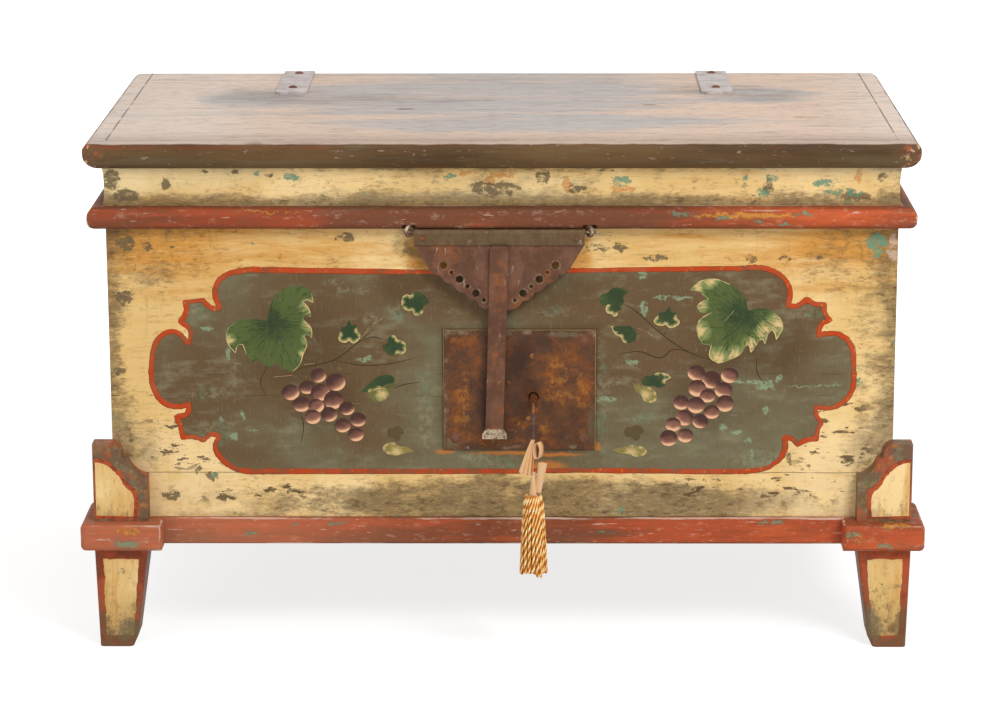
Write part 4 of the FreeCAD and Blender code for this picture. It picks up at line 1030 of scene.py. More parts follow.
def field_paint():
    """Olive-grey panel ground: brown zones, teal rubs and flakes, scratches, rust and darkening round the iron."""
    coat = Coat("panel_field")
    broad = coat.cloud(7, 4, 0.6, (0.7, 1, 1.1), (2.5, 0, 1.3))
    brown = coat.spots(FIELD_BROWN, 30, 12, 0.45)
    coat.base((broad + brown * 0.22).rise(0.44, 0.7), "field", "field_warm")
    strokes = coat.cloud(60, 5, 0.65, (0.4, 1, 1), (3, 0, 2))
    coat.lay(strokes.rise(0.5, 0.72) * 0.35, "field_pale")
    coat.lay(strokes.rise(0.5, 0.3) * 0.45, "field_warm")
    shade = coat.spots(FIELD_SHADE, 20, 18, 0.5)
    # Darker within a centimetre of the lock plate.
    plate = coat.outside("lock_plate").rise(0.01, 0)
    coat.lay(coat.least(1, shade * 0.42 + plate * 0.4), "grime")
    haze = coat.spots(FIELD_HAZE, 8, 60, 0.5) * coat.cloud(150, 5, 0.75).rise(0.42, 0.62)
    coat.lay(haze * 0.45, coat.mix(coat.flakes(30, 0.5, 3, soft=0.1), "field_pale", "teal"))
    weave = coat.cloud(420, 2, 0.5, (1, 1, 0.2))
    coat.lay(weave.rise(0.56, 0.8) * 0.2, "field_pale")
    coat.lay(weave.rise(0.44, 0.24) * 0.2, "grime")
    dust = coat.flakes(520, 0.66, 3, soft=0.05) * coat.cloud(16, 4, 0.6, shift=(7, 0, 1)).rise(0.46, 0.6)
    coat.lay(dust * 0.5, "field_pale")
    rust = coat.spots(FIELD_RUST, 4, 70, 0.5)
    coat.lay(rust * 0.6, "orange")
    rim = coat.outside("lock_plate").rise(0.0035, 0.0005) * coat.cloud(60, 4, 0.55).rise(0.36, 0.5)
    coat.lay(rim * 0.7, "grime")
    teal = coat.spots(FIELD_TEAL, 10, 120, 0.2) * coat.cloud(260, 4, 0.7).rise(0.36, 0.5)
    coat.lay(teal * 0.8, coat.mix(0.16, "teal", "pale"))
    scratches = coat.flakes(26, 0.655, 3, (0.35, 1, 4), shift=(6, 0, 2), soft=0.02)
    thin = coat.cloud(220, 3, 0.6, (0.2, 1, 1)).rise(0.5, 0.6)
    coat.lay(scratches * thin * 0.3, "field_pale")
    cracks = seam_lines(coat)
    coat.lay(cracks * 0.4, "grime")
    height = weave * 0.25 - teal * 0.4 - cracks * 0.6 + strokes * 0.2
    return coat.finish(0.48 + weave * 0.15, height, 0.0004)


def border_paint():
    """Red-orange brush line, scuffed down to the ochre and the field."""
    coat = Coat("panel_border")
    tone = coat.cloud(30)
    coat.base(tone.rise(0.42, 0.62), "border", "red")
    low = coat.z.rise(0.26, 0.2) * 0.07
    scuffs = coat.flakes(170, 0.6, 4, soft=0.06)
    coat.lay(scuffs * 0.5, "ochre")
    thin = (coat.cloud(60, 6, 0.76, shift=(5, 5, 5)) + low).rise(0.5, 0.66)
    coat.lay(thin * 0.6, "field_warm")
    return coat.finish(0.42 + tone * 0.15, tone * 0.4, 0.0004)


def roughen(obj, amount):
    """Gives the rim of a painted line the small waves of a brush."""
    for vertex in obj.data.vertices:
        x, y, _ = vertex.co / MM
        vertex.co.x += amount * MM * noise.noise((x * 0.35, y * 0.35, 0.0))
        vertex.co.y += amount * MM * noise.noise((x * 0.35, y * 0.35, 7.0))


class CHEST_OT_draw_panel(bpy.types.Operator):
    """Lay the olive panel with its red-orange border on the front board"""

    bl_idname = "chest.draw_panel"
    bl_label = "Draw the panel"

    def execute(self, context):
        low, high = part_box("lock_plate")
        gap = PLATE_GAP * MM
        left, right, foot, top = (low.x - gap) / MM, (high.x + gap) / MM, (low.z - gap) / MM, (high.z + gap) / MM
        plate = ((left, foot, 1), (right, foot, 1), (right, top, 1), (left, top, 1))
        lay_on_board(filled("panel_field", PANEL, plate), FIELD_LEVEL, field_paint())
        border = brushed_line("panel_border", PANEL, 6, closed=True)
        roughen(border, 0.9)
        flatten(border, 0.09)
        lay_on_board(border, BORDER_LEVEL, border_paint())
        return {"FINISHED"}


# The two large leaves: name, outline, stem point, centres of pale paint (x, height, reach), rims as runs of the
# outline's points, tone from 0 (blue-green) to 1 (green), and width of the rims

LEFT_LEAF = (
    (-243, 423), (-228, 425), (-216, 417), (-214, 406, 1), (-221, 409), (-226, 407, 1), (-219, 398), (-217, 389, 1),
    (-222, 391), (-226, 386, 1), (-217, 376), (-216, 364, 1), (-221, 368), (-225, 366, 1), (-222, 358),
    (-227, 343, 1), (-231, 332), (-239, 324, 1), (-249, 327), (-258, 335, 1), (-266, 330), (-279, 341, 1),
    (-284, 335, 1), (-292, 344), (-296, 356, 1), (-301, 356), (-305, 346, 1), (-314, 360), (-313, 374), (-303, 383),
    (-285, 386), (-267, 384, 1), (-263, 403), (-253, 418),
)
RIGHT_LEAF = (
    (213, 420, 1), (224, 430), (241, 433), (259, 427), (275, 412), (280, 396, 1), (295, 399), (312, 392),
    (320, 376), (313, 362, 1), (311, 370), (308, 374, 1), (303, 368), (300, 357, 1), (297, 362), (293, 361, 1),
    (288, 352), (284, 347, 1), (281, 355), (278, 355, 1), (272, 345), (259, 338), (247, 334, 1), (237, 341),
    (238, 355, 1), (228, 357, 1), (222, 370), (224, 384), (238, 394, 1), (226, 394), (222, 401), (234, 410, 1),
    (226, 417),
)
LARGE_LEAVES = (
    (
        "left_leaf", LEFT_LEAF, (-262, 378),
        ((-219, 400, 13), (-219, 380, 12), (-222, 362, 9), (-226, 345, 8), (-310, 362, 9)),
        ((2, 8), (9, 12), (13, 17), (23, 29)), 0.75, 0.95,
    ),
    (
        "right_leaf", RIGHT_LEAF, (277, 392),
        (
            (220, 424, 16), (236, 431, 13), (226, 402, 11), (226, 372, 15), (246, 340, 17), (266, 343, 15),
            (284, 356, 14), (300, 372, 17), (314, 380, 20),
        ),
        ((0, 3), (8, 12), (12, 15), (16, 19), (20, 25), (25, 28), (29, 32)), 0.3, 1.3,
    ),
)

# The small leaves' three shapes, from -1 to 1

ROUND_LEAF = (
    (0.1, 1.0), (0.6, 0.75), (1.0, 0.1, 1), (0.55, -0.25), (0.5, -0.75), (0.05, -1.0), (-0.25, -0.6, 1),
    (-0.8, -0.45), (-1.0, 0.15), (-0.75, 0.75), (-0.35, 0.7, 1),
)
SPIKED_LEAF = (
    (0.05, 1.1, 1), (0.3, 0.55), (0.6, 0.6), (0.7, 0.1, 1), (1.0, -0.25), (0.75, -0.75), (0.35, -0.95),
    (0.0, -0.7, 1), (-0.45, -0.9), (-0.95, -0.6), (-0.85, -0.2, 1), (-0.6, 0.35), (-0.25, 0.5, 1),
)
POINTED_LEAF = (
    (1.2, 0.1, 1), (0.6, 0.55), (0.1, 0.55), (-0.3, 0.85), (-0.8, 0.5), (-0.95, -0.05), (-0.6, -0.7),
    (0.0, -0.8, 1), (0.45, -0.45),
)

# Small leaves: name, outline, x, height, half width, half height, turn in degrees, tone, and run of points with a
# pale rim; a tone is -1 brown, 0 blue-green, 1 green or 2 ochre

SMALL_LEAVES = (
    ("a", ROUND_LEAF, -98, 404, 16, 14, 0, 0.4, (4, 10)), ("b", SPIKED_LEAF, -174, 371, 13, 14, 0, 0.0, (3, 10)),
    ("c", ROUND_LEAF, -123, 355, 14, 12, 175, 0.2, (5, 10)),
    ("d", POINTED_LEAF, -141, 310, 20, 10, 200, 0.0, (1, 3)),
    ("e", POINTED_LEAF, -137, 300, 17, 11, 28, 1.4, (0, 0)), ("f", POINTED_LEAF, -121, 232, 17, 9, -8, 2.0, (3, 6)),
    ("g", ROUND_LEAF, -122, 251, 10, 9, 0, -1.0, (0, 0)), ("h", ROUND_LEAF, 128, 411, 17, 11, 20, 0.3, (0, 0)),
    ("i", ROUND_LEAF, 127, 397, 9, 8, 0, 0.5, (4, 9)), ("j", SPIKED_LEAF, 188, 388, 15, 12, -10, 0.2, (3, 10)),
    ("k", POINTED_LEAF, 140, 370, 15, 12, 150, 0.5, (0, 3)), ("l", ROUND_LEAF, 177, 314, 17, 9, 10, 0.1, (0, 3)),
    ("m", POINTED_LEAF, 164, 300, 16, 10, 140, 1.7, (3, 7)), ("n", POINTED_LEAF, 148, 231, 19, 8, 175, 1.9, (3, 7)),
    ("o", ROUND_LEAF, 152, 252, 12, 9, 0, -1.0, (0, 0)),
)
LEFT_GRAPES = (
    (-210, 320, 9), (-190, 312, 11), (-223, 306, 9), (-242, 300, 10), (-208, 300, 11), (-230, 286, 10),
    (-193, 291, 11), (-213, 284, 9), (-217, 271, 9), (-198, 274, 9), (-178, 281, 9), (-165, 268, 9), (-183, 261, 9),
    (-168, 250, 9),
)
RIGHT_GRAPES = (
    (222, 323, 10), (260, 320, 10), (239, 315, 11), (253, 303, 10), (223, 305, 10), (235, 296, 9), (255, 287, 10),
    (205, 288, 9), (240, 277, 9), (222, 285, 10), (227, 266, 9), (209, 270, 10), (196, 262, 9), (210, 249, 9),
    (191, 246, 10),
)
STEMS = (
    ((-237, 327), (-210, 333), (-192, 338), (-171, 353), (-146, 374)),
    ((-192, 338), (-160, 332), (-134, 333), (-100, 340)), ((-171, 354), (-174, 366)),
    ((-158, 362), (-146, 365), (-135, 362)), ((-240, 325), (-222, 311)),
    ((241, 337), (214, 347), (180, 370), (154, 394), (139, 404)),
    ((218, 346), (194, 350), (182, 341), (157, 348), (134, 345)), ((184, 366), (189, 378)),
    ((243, 336), (224, 326)), ((-94, 312), (-112, 309), (-128, 303)), ((-268, 330), (-276, 312), (-270, 296)),
    ((-238, 292), (-228, 262), (-231, 240)), ((290, 340), (292, 322), (300, 310)),
)
GLINTS = (
    ((-226, 333), (-214, 334)), ((-161, 362), (-152, 375)), ((252, 382), (264, 396)), ((154, 376), (160, 373)),
    ((166, 370), (172, 366)), ((-146, 381), (-136, 387)), ((-310, 336), (-298, 333)), ((-262, 318), (-240, 320)),
)
VEINS = (
    ((-262, 380), (-250, 356), (-240, 332)), ((-264, 378), (-284, 374), (-306, 366)),
    ((-260, 380), (-242, 396), (-224, 414)), ((-258, 368), (-240, 370), (-222, 374)),
    ((-262, 372), (-276, 356), (-284, 344)), ((-252, 390), (-238, 392), (-224, 394)),
    ((277, 392), (258, 364), (247, 342)), ((279, 392), (296, 386), (314, 374)),
    ((272, 388), (250, 404), (228, 420)), ((264, 376), (244, 376), (228, 378)),
    ((268, 380), (284, 366), (296, 364)), ((262, 390), (246, 396), (236, 402)),
)


def leaf_paint():
    """Greens brushed outward from the stem, with pale yellow paint where the light falls."""
    coat = Coat("leaf_paint")
    pale, tone = coat.attribute("pale"), coat.attribute("tone")
    strokes_at = coat.node(
        "ShaderNodeCombineXYZ", {}, {"X": coat.attribute("turn"), "Y": coat.attribute("reach"), "Z": 0}
    ).outputs[0]
    strokes = coat.cloud(9, 4, 0.7, (1.5, 0.9, 1), base=strokes_at)
    inner = coat.attribute("reach").rise(0, 0.42)
    broad = coat.cloud(36)
    fine = coat.cloud(260, 4, 0.7)
    coat.base(tone.rise(0, 1), "leaf_deep", "leaf_dark")
    green = (broad * 0.8 + (strokes - 0.5) * 0.7 + tone * 0.1 + inner * 0.3).rise(0.4, 0.76)
    coat.lay(green * 0.9, "leaf_mid")
    fresh = (strokes * 0.8 + pale * 1.1 + inner * 0.26 + (fine - 0.5) * 0.3).rise(0.66, 1.1)
    coat.lay(fresh * 0.7, "leaf_fresh")
    coat.lay(tone.rise(1, 1.9) * 0.8, "leaf_ochre")
    lit = pale + (strokes - 0.5) * 1.6 + (fine - 0.5) * 0.4
    coat.lay(lit.rise(0.34, 1) * 0.9, "leaf_rim")
    coat.lay(tone.rise(-0.3, -0.9) * 0.75, "field_warm")
    dark = (strokes + (broad - 0.5) * 0.5).rise(0.48, 0.32)
    coat.lay(dark * 0.6, "leaf_dark")
    worn = coat.flakes(110, 0.64, 5, soft=0.05)
    coat.lay(worn * 0.45, "field")
    return coat.finish(0.42 + strokes * 0.15, strokes * 0.5, 0.0004)


def grape_paint():
    """Mauve with a lit crescent and small chips."""
    coat = Coat("grape_paint")
    light = coat.attribute("light")
    strokes = coat.cloud(120, 5, 0.7)
    lit = light + (strokes - 0.5) * 0.5
    coat.base(lit.rise(0, 0.42), "grape_dark", "grape_mid")
    coat.lay(lit.rise(0.36, 0.9), "grape_rim")
    worn = coat.flakes(130, 0.67, 5, soft=0.05)
    coat.lay(worn * 0.4, "field_pale")
    return coat.finish(0.4 + strokes * 0.15, strokes * 0.4, 0.0004)


def plain_paint(name, over, other, thin=0):
    """One brushed colour over another; thin lets the ground show through the stroke here and there."""
    coat = Coat(name)
    patchy = coat.cloud(90, 5, 0.7)
    coat.base((patchy + thin).rise(0.45, 0.6), over, other)
    return coat.finish(0.45 + patchy * 0.1, patchy * 0.3, 0.0003)


def joined(pieces, name):
    """Joins objects into one and names it."""
    only(pieces[0])
    for piece in pieces[1:]:
        piece.select_set(True)
    bpy.ops.object.join()
    made = bpy.context.view_layer.objects.active
    made.name = made.data.name = name
    return made


def painted_leaf(name, outline, stem, pale, tone):
    """A filled leaf that knows, at each point, how pale it is and how the brush ran from the stem."""
    leaf = filled(name, outline)
    crosscut(leaf, SHADE_STEP * MM)
    paleness, reaches, turns = [], [], []
    for vertex in leaf.data.vertices:
        x, height, _ = vertex.co / MM
        nearest = [1 - math.hypot(x - a, height - b) / reach for a, b, reach in pale]
        paleness.append(max(0.0, *nearest) if pale else 0.0)
        reaches.append(math.hypot(x - stem[0], height - stem[1]) / 100)
        turns.append(math.atan2(height - stem[1], x - stem[0]))
    for kind, values in (("pale", paleness), ("reach", reaches), ("turn", turns), ("tone", [tone] * len(turns))):
        store(leaf, kind, values)
    return leaf


def placed(outline, x, height, half_width, half_height, turn):
    """A small outline scaled, turned and moved to its place on the panel."""
    angle = math.radians(turn)
    points = []
    for a, b, *corner in outline:
        a, b = a * half_width, b * half_height
        across, up = a * math.cos(angle) - b * math.sin(angle), a * math.sin(angle) + b * math.cos(angle)
        points.append((x + across, height + up, *corner))
    return points


def run_of(outline, first, last):
    """The stretch of an outline between two of its points, drawn a little inside it."""
    middle = [sum(point[axis] for point in outline) / len(outline) for axis in (0, 1)]
    points = []
    for x, height, *corner in outline[first : last + 1]:
        pull = RIM_INSET / math.hypot(x - middle[0], height - middle[1])
        points.append((x + (middle[0] - x) * pull, height + (middle[1] - height) * pull, *corner))
    return points


class CHEST_OT_draw_leaves(bpy.types.Operator):
    """Paint the vine leaves, their veins and the stems"""

    bl_idname = "chest.draw_leaves"
    bl_label = "Draw the leaves and stems"

    def execute(self, context):
        leaves, rims = [], []
        for name, outline, stem, pale, runs, tone, width in LARGE_LEAVES:
            leaves.append(painted_leaf(name, outline, stem, pale, tone))
            rims += brushed_lines([run_of(outline, *run) for run in runs], width)
        for count, (name, outline, x, height, wide, tall, turn, tone, run) in enumerate(SMALL_LEAVES):
            points = placed(outline, x, height, wide, tall, turn)
            pale = [(*point[:2], PALE_REACH) for point in points[run[0] : run[1] + 1]] if run[1] else []
            if tone > 1:
                pale.append((x, height - 3, wide * 0.8))
            leaf = painted_leaf("small_leaf_" + name, points, (x, height), pale, tone)
            leaf.data.transform(Matrix.Translation((0, 0, 0.004 * (count + 1) * MM)))
            leaves.append(leaf)
            if run[1] and tone < 1:
                rims += brushed_lines([run_of(points, *run)], 1.1)
        lay_on_board(joined(leaves, "painted_leaves"), LEAF_LEVEL, leaf_paint())
        strokes = (
            ("painted_rims", rims, RIM_LEVEL, "leaf_rim", "leaf_fresh", 0),
            ("painted_stems", brushed_lines(STEMS, 1.3), BORDER_LEVEL, "grime", "leaf_dark", 0),
            ("painted_veins", brushed_lines(VEINS, 0.8), VEIN_LEVEL, "leaf_dark", "leaf_mid", 0.06),
            ("painted_glints", brushed_lines(GLINTS, 0.8), GLINT_LEVEL, "leaf_rim", "field_pale", 0),
        )
        for name, lines, level, over, other, thin in strokes:
            stroke = joined(lines, name)
            flatten(stroke, 0.04)
            lay_on_board(stroke, level, plain_paint(name, over, other, thin))
        return {"FINISHED"}


class CHEST_OT_draw_grapes(bpy.types.Operator):
    """Paint the two bunches of grapes"""

    bl_idname = "chest.draw_grapes"
    bl_label = "Draw the grapes"

    def execute(self, context):
        pattern = grape_pattern()
        skin = grape_paint()
        chance = random.Random(7)
        for side, grapes, lean in (("left", LEFT_GRAPES, 28), ("right", RIGHT_GRAPES, -14)):
            made = []
            for count, (x, height, radius) in enumerate(reversed(grapes)):
                grape = bpy.data.objects.new("grape", pattern.data.copy())
                context.scene.collection.objects.link(grape)
                turn = math.radians(chance.uniform(-22, 22) + lean)
                size = Matrix.Diagonal((radius * MM, radius * MM * chance.uniform(0.88, 1.0), 1, 1))
                place = Matrix.Translation((x * MM, height * MM, 0.012 * (len(grapes) - count) * MM))
                grape.data.transform(place @ size @ Matrix.Rotation(turn, 4, "Z"))
                deeper = chance.uniform(-0.16, 0.1)
                for point in grape.data.attributes["light"].data:
                    point.value += deeper
                made.append(grape)
            lay_on_board(joined(made, f"painted_grapes_{side}"), GRAPE_LEVEL, skin)
        bpy.data.objects.remove(pattern)
        return {"FINISHED"}


def grape_pattern():
    """One round grape, ringed so that its shade can run from a dark top to a lit crescent below."""
    bpy.ops.mesh.primitive_circle_add(vertices=32, radius=1, fill_type="NGON", location=(0, 0, 0))
    disc = bpy.context.view_layer.objects.active
    bpy.ops.object.mode_set(mode="EDIT")
    bpy.ops.mesh.select_all(action="SELECT")
    for thickness in (0.05, 0.08, 0.12, 0.15, 0.18, 0.18):
        bpy.ops.mesh.inset(thickness=thickness, depth=0)
    bpy.ops.mesh.poke()
    bpy.ops.object.mode_set(mode="OBJECT")
    values = []
    for vertex in disc.data.vertices:
        out = vertex.co.length
        low = -vertex.co.y
        crescent = max(0.0, out - 0.3) / 0.7 * max(0.0, low / max(out, 0.01))
        shade = max(0.0, out - 0.55) * 0.8 * max(0.0, -low)
        values.append(0.24 + 0.26 * low + 0.9 * crescent**1.5 - shade)
    store(disc, "light", values)
    return disc


# Brackets: a cream field with a red line, on each painted face


def bracket_outline(inset):
    """A bracket's painted line or the field inside it, from the outer lower corner, in millimetres."""
    return (
        (1 + inset * 0.3, 4 + inset * 0.6, 1), (50 - inset, 4 + inset * 0.4, 1), (50 - inset, 36 - inset),
        (48 - inset, 40 - inset, 1), (39 - inset * 0.7, 47 - inset), (34 - inset * 0.7, 57 - inset),
        (27 - inset * 0.6, 64 - inset, 1), (20 - inset * 0.4, 70 - inset), (11 - inset * 0.2, 74 - inset),
        (1 + inset * 0.3, 75 - inset, 1),
    )


def bracket_faces():
    """Each painted face as (name, corner on the face, direction along it, outward direction)."""
    faces = []
    for side, sign in (("left", -1), ("right", 1)):
        low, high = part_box(f"{side}_bracket_front")
        x = low.x if sign < 0 else high.x
        faces.append((f"{side}_front", Vector((x, low.y, low.z)), Vector((-sign, 0, 0)), Vector((0, -1, 0))))
        faces.append((f"{side}_side", Vector((x, low.y, low.z)), Vector((0, 1, 0)), Vector((sign, 0, 0))))
        low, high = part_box(f"rear_{side}_bracket")
        faces.append((f"{side}_rear", Vector((x, high.y, low.z)), Vector((0, -1, 0)), Vector((sign, 0, 0))))
    return faces


class CHEST_OT_draw_brackets(bpy.types.Operator):
    """Paint a cream field with a red line on the brackets"""

    bl_idname = "chest.draw_brackets"
    bl_label = "Draw the brackets' fields"

    def execute(self, context):
        red = plain_paint("bracket_line", "red", "red_dark")
        coat = Coat("bracket_cream")
        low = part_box("left_bracket_front")[0]
        dirt = coat.z.rise(low.z + 0.03, low.z) * 0.26 + abs(coat.x).rise(0.45, 0.425) * 0.1
        roughness, height = cream_coat(coat, "z", dirt, 0.12, 0.01)
        cream = coat.finish(roughness, height, 0.0006)
        for name, corner, along, outward in bracket_faces():
            for part, inset, level, material in (("line", 0.0, 0.06, red), ("field", 4.6, 0.12, cream)):
                patch = filled(f"bracket_{part}_{name}", bracket_outline(inset))
                roughen(patch, 0.8)
                up = Vector((0, 0, 1))
                turn = Matrix((along, up, outward)).transposed().to_4x4()
                patch.data.transform(Matrix.Translation(corner + outward * level * MM) @ turn)
                if along.cross(up).dot(outward) < 0:
                    patch.data.flip_normals()
                patch.data.materials.clear()
                patch.data.materials.append(material)
                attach(patch, "chest")
        return {"FINISHED"}


# Ironwork

IRON_SHINE = 0.2
HASP_RIM_CLEAR = 1.4
HASP_HOLES = 6


def iron_skin(name, base, light, rust, rust_edge, roughness, metallic, soot=0.5):
    """Wrought iron: mottled skin, rubbed zones, rust patches and pits."""
    coat = Coat(name, IRON_SHINE, metallic=metallic)
    mottled = coat.cloud(70, 6, 0.68)
    coat.base(mottled.rise(0.4, 0.64), base, light)
    patches = coat.cloud(34, rough=0.68, shift=(4, 7, 1))
    rusty = patches.rise(rust_edge, rust_edge + 0.1)
    coat.lay(rusty * 0.8, rust)
    dark = coat.cloud(50, rough=0.68, shift=(1, 1, 8)).rise(0.5, 0.66)
    coat.lay(dark * soot, "grime")
    pitted = coat.flakes(480, 0.6, 4, soft=0.08)
    coat.lay(pitted * 0.8 * soot, "grime")
    height = mottled * 0.5 - pitted * soot + rusty * 0.3
    return coat.finish(roughness + rusty * 0.25 + mottled * 0.15, height, 0.0005)


def hasp_holes():
    """Centres and reaches of the punched holes along both slanting edges, in millimetres."""
    low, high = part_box("hasp_plate")
    middle, pin = (low.x + high.x) / 2 / MM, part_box("hasp_pin")
    level = (pin[0].z + pin[1].z) / 2 / MM
    holes = []
    for side in (-1, 1):
        for step in range(HASP_HOLES):
            along = step / (HASP_HOLES - 1)
            reach = (4.3, 2.3)[step % 2] + HASP_RIM_CLEAR
            holes.append((middle + side * (63.5 - 46 * along), level - 38.5 - 40.5 * along, reach, reach))
    return holes


def hasp_iron():
    """Purple-brown iron with an olive strip at its top, pale rims round the holes, chalk and painted highlight on
    the punched edges, and a pale tip.
    """
    coat = Coat("hasp_iron", IRON_SHINE, metallic=0.3)
    mottled = coat.cloud(80, 6, 0.68, (1, 1, 0.6))
    coat.base(mottled.rise(0.4, 0.66), "hasp", "hasp_light")
    rusty = coat.cloud(40, rough=0.68, shift=(2, 5, 1)).rise(0.52, 0.66)
    coat.lay(rusty * 0.42, "rust")
    grimy = coat.cloud(30, shift=(6, 1, 3)).rise(0.5, 0.66)
    coat.lay(grimy * 0.35, "grime")
    # Pale rims round the holes: chalk, and painted highlight where the punched edges catch the light.
    rims = coat.spots(hasp_holes(), 0.6, 300, 0.25) * coat.cloud(160, 4, 0.55).rise(0.42, 0.6)
    coat.lay(rims * 0.24, "chalk")
    strip = coat.z.rise(*HASP_STRIP)
    streaky = coat.cloud(120, 5, 0.68, (1, 1, 0.25)).rise(0.36, 0.68)
    coat.lay(strip * 0.85, coat.mix(streaky, "strip", "bare"))
    line = coat.z.near(0.4742, 0.0009)
    coat.lay(line * 0.6, "grime")
    scratched = coat.flakes(90, 0.665, 4, (1.6, 1, 0.5), shift=(3, 3, 3), soft=0.02)
    coat.lay(scratched * 0.35, "chalk")
    tip = coat.z.rise(*HASP_TIP)
    chalk = coat.mix(coat.cloud(260, 5, 0.7).rise(0.42, 0.56), "bare", "chalk")
    coat.lay(tip * 0.9, chalk)
    pitted = coat.flakes(420, 0.61, 4, soft=0.08)
    coat.lay(pitted * 0.35, "grime")
    height = mottled * 0.5 - pitted * 0.5
    return coat.finish(0.5 + mottled * 0.15 + tip * 0.2, height, 0.0005)


PLATE_ORANGE = (
    (-44, 360, 9, 6), (-52, 250, 20, 8), (95, 250, 18, 7), (17, 262, 14, 9), (46, 260, 9, 8), (-20, 243, 20, 6),
    (36, 245, 24, 5), (68, 330, 22, 26), (62, 300, 26, 14), (-46, 290, 10, 40), (92, 300, 9, 26),
    (-46, 268, 12, 12),
)
# Dark zones of the lock plate, those round the keyhole painted shade: across, height, half width, half height
PLATE_DARK_AND_KEYHOLE_SHADE = ((22, 286, 15, 20), (30, 300, 12, 14), (20, 330, 16, 30), (-16, 300, 10, 60), (38, 252, 8, 10))
PLATE_TEAL = ((-66, 240, 16, 6), (-70, 262, 6, 20), (104, 262, 6, 20), (72, 368, 20, 3), (-62, 372, 12, 3))


def plate_iron():
    """Brown iron with orange rust, dark zones, painted shade round the keyhole and rubs of the panel's paint."""
    coat = Coat("lock_plate_iron", IRON_SHINE, metallic=0.25)
    mottled = coat.cloud(60, 6, 0.7)
    coat.base(mottled.rise(0.4, 0.62), "plate", "plate_brown")
    patches = coat.cloud(46, 6, 0.72, shift=(3, 3, 3))
    orange = coat.spots(PLATE_ORANGE, 8, 60, 0.6)
    rusty = (patches + orange * 0.1).rise(0.5, 0.7)
    coat.lay(rusty * 0.5, "rust")
    bright = (coat.cloud(120, rough=0.72, shift=(1, 9, 1)) + orange * 0.1).rise(0.6, 0.68)
    coat.lay(bright * 0.25 * orange, "ochre")
    dark = coat.cloud(24, rough=0.68, shift=(8, 1, 1)).rise(0.48, 0.64)
    deep = coat.spots(PLATE_DARK_AND_KEYHOLE_SHADE, 8, 40, 0.6)
    coat.lay(coat.least(1, dark * 0.36 + deep * 0.42), "plate_dark")
    teal = coat.spots(PLATE_TEAL, 5, 70, 0.5)
    coat.lay(teal * 0.5, "field")
    edge = coat.edge_distance("lock_plate").rise(0.007, 0.001)
    worn = edge * coat.cloud(70, 5, 0.7).rise(0.52, 0.62)
    coat.lay(worn * 0.3, "chalk")
    # Darker along the plate's edges.
    edge_darkening = edge * coat.cloud(60, rough=0.7, shift=(2, 2, 9)).rise(0.46, 0.56)
    coat.lay(edge_darkening * 0.5, "grime")
    pitted = coat.flakes(380, 0.6, 4, soft=0.08)
    coat.lay(pitted * 0.45, "grime")
    return coat.finish(0.58 + rusty * 0.2, mottled * 0.5 - pitted * 0.6, 0.0006)


class CHEST_OT_finish_iron(bpy.types.Operator):
    """Finish the hinges, the hasp, the lock, the nails and the key"""

    bl_idname = "chest.finish_iron"
    bl_label = "Finish the ironwork"

    def execute(self, context):
        strap = iron_skin("strap_iron", "strap", "strap_shade", "rust", 0.72, 0.5, 0.2, 0.12)
        dress(strap, "left_hinge_strap", "right_hinge_strap", "left_hinge_leaf", "right_hinge_leaf", "hinge_pins")
        nail = iron_skin("nail_iron", "nail", "hasp_light", "rust", 0.54, 0.6, 0.25)
        dress(nail, "hinge_strap_nails", "hinge_leaf_nails", "lock_plate_nails", "hasp_rivets")
        dress(iron_skin("rivet_iron", "plate", "rivet", "plate", 0.46, 0.6, 0.25), "lock_rivets")
        dress(hasp_iron(), "hasp_plate", "hasp_bar", "hasp_staple")
        eye = iron_skin("eye_iron", "hasp", "chalk", "rust", 0.62, 0.5, 0.35)
        dress(eye, "hasp_pin", "hasp_eyes")
        dress(plate_iron(), "lock_plate")
        inner = iron_skin("lock_iron", "plate", "hasp_light", "rust", 0.56, 0.55, 0.4)
        dress(inner, "lock_case", "lock_bolt")
        dress(iron_skin("key_iron", "key", "rust", "chalk", 0.6, 0.4, 0.5), "key")
        return {"FINISHED"}


# Cord, ribbon and tassel

CORD_THICKNESS = 2.2
CORD_RUN = 30.6
PLIES = 2
STRAND_SIDES = 10

# Turns of the knot: tilt in degrees and size in millimetres

KNOT_TURNS = ((0, 2.2), (62, 2.1), (-58, 2.1))

# The cord's sway in millimetres at each share of its way down

CORD_SWAY = ((0.0, 0.0), (0.3, 0.22), (-0.3, 0.5), (0.2, 0.76), (0.0, 1.0))
CORD_STEPS = 70
STRAND_STEPS = 150

# Rows and columns of each part of the ribbon

WING_GRID = (18, 30)
LOOP_GRID = (32, 8)
TUBE_GRID = (36, 12)

# Shape of the tassel's skirt: how far down, and how far out of the neck

SKIRT_PROFILE = ((0.0, 0.0), (0.03, 0.3), (0.2, 0.5), (0.45, 0.68), (0.72, 0.86), (1.0, 1.0))


def smooth_line(points, count):
    """Points read from a smooth spline that the given points steer."""
    curve = bpy.data.curves.new("line", "CURVE")
    curve.dimensions = "3D"
    curve.resolution_u = 24
    spline = curve.splines.new("NURBS")
    spline.points.add(len(points) - 1)
    for point, place in zip(spline.points, points):
        point.co = (*place, 1.0)
    spline.order_u = 3
    spline.use_endpoint_u = True
    obj = bpy.data.objects.new("line", curve)
    bpy.context.scene.collection.objects.link(obj)
    mesh = bpy.data.meshes.new_from_object(obj)
    line = [v.co.copy() for v in mesh.vertices]
    bpy.data.objects.remove(obj)
    return evenly(line, count)


def evenly(line, count):
    """Points at even distances along a line."""
    gaps = [(b - a).length for a, b in zip(line, line[1:])]
    total = sum(gaps)
    out = []
    index, passed = 0, 0.0
    for step in range(count + 1):
        target = total * step / count
        while index < len(gaps) - 1 and passed + gaps[index] < target:
            passed += gaps[index]
            index += 1
        along = min(1.0, (target - passed) / gaps[index])
        out.append(line[index].lerp(line[index + 1], along))
    return out


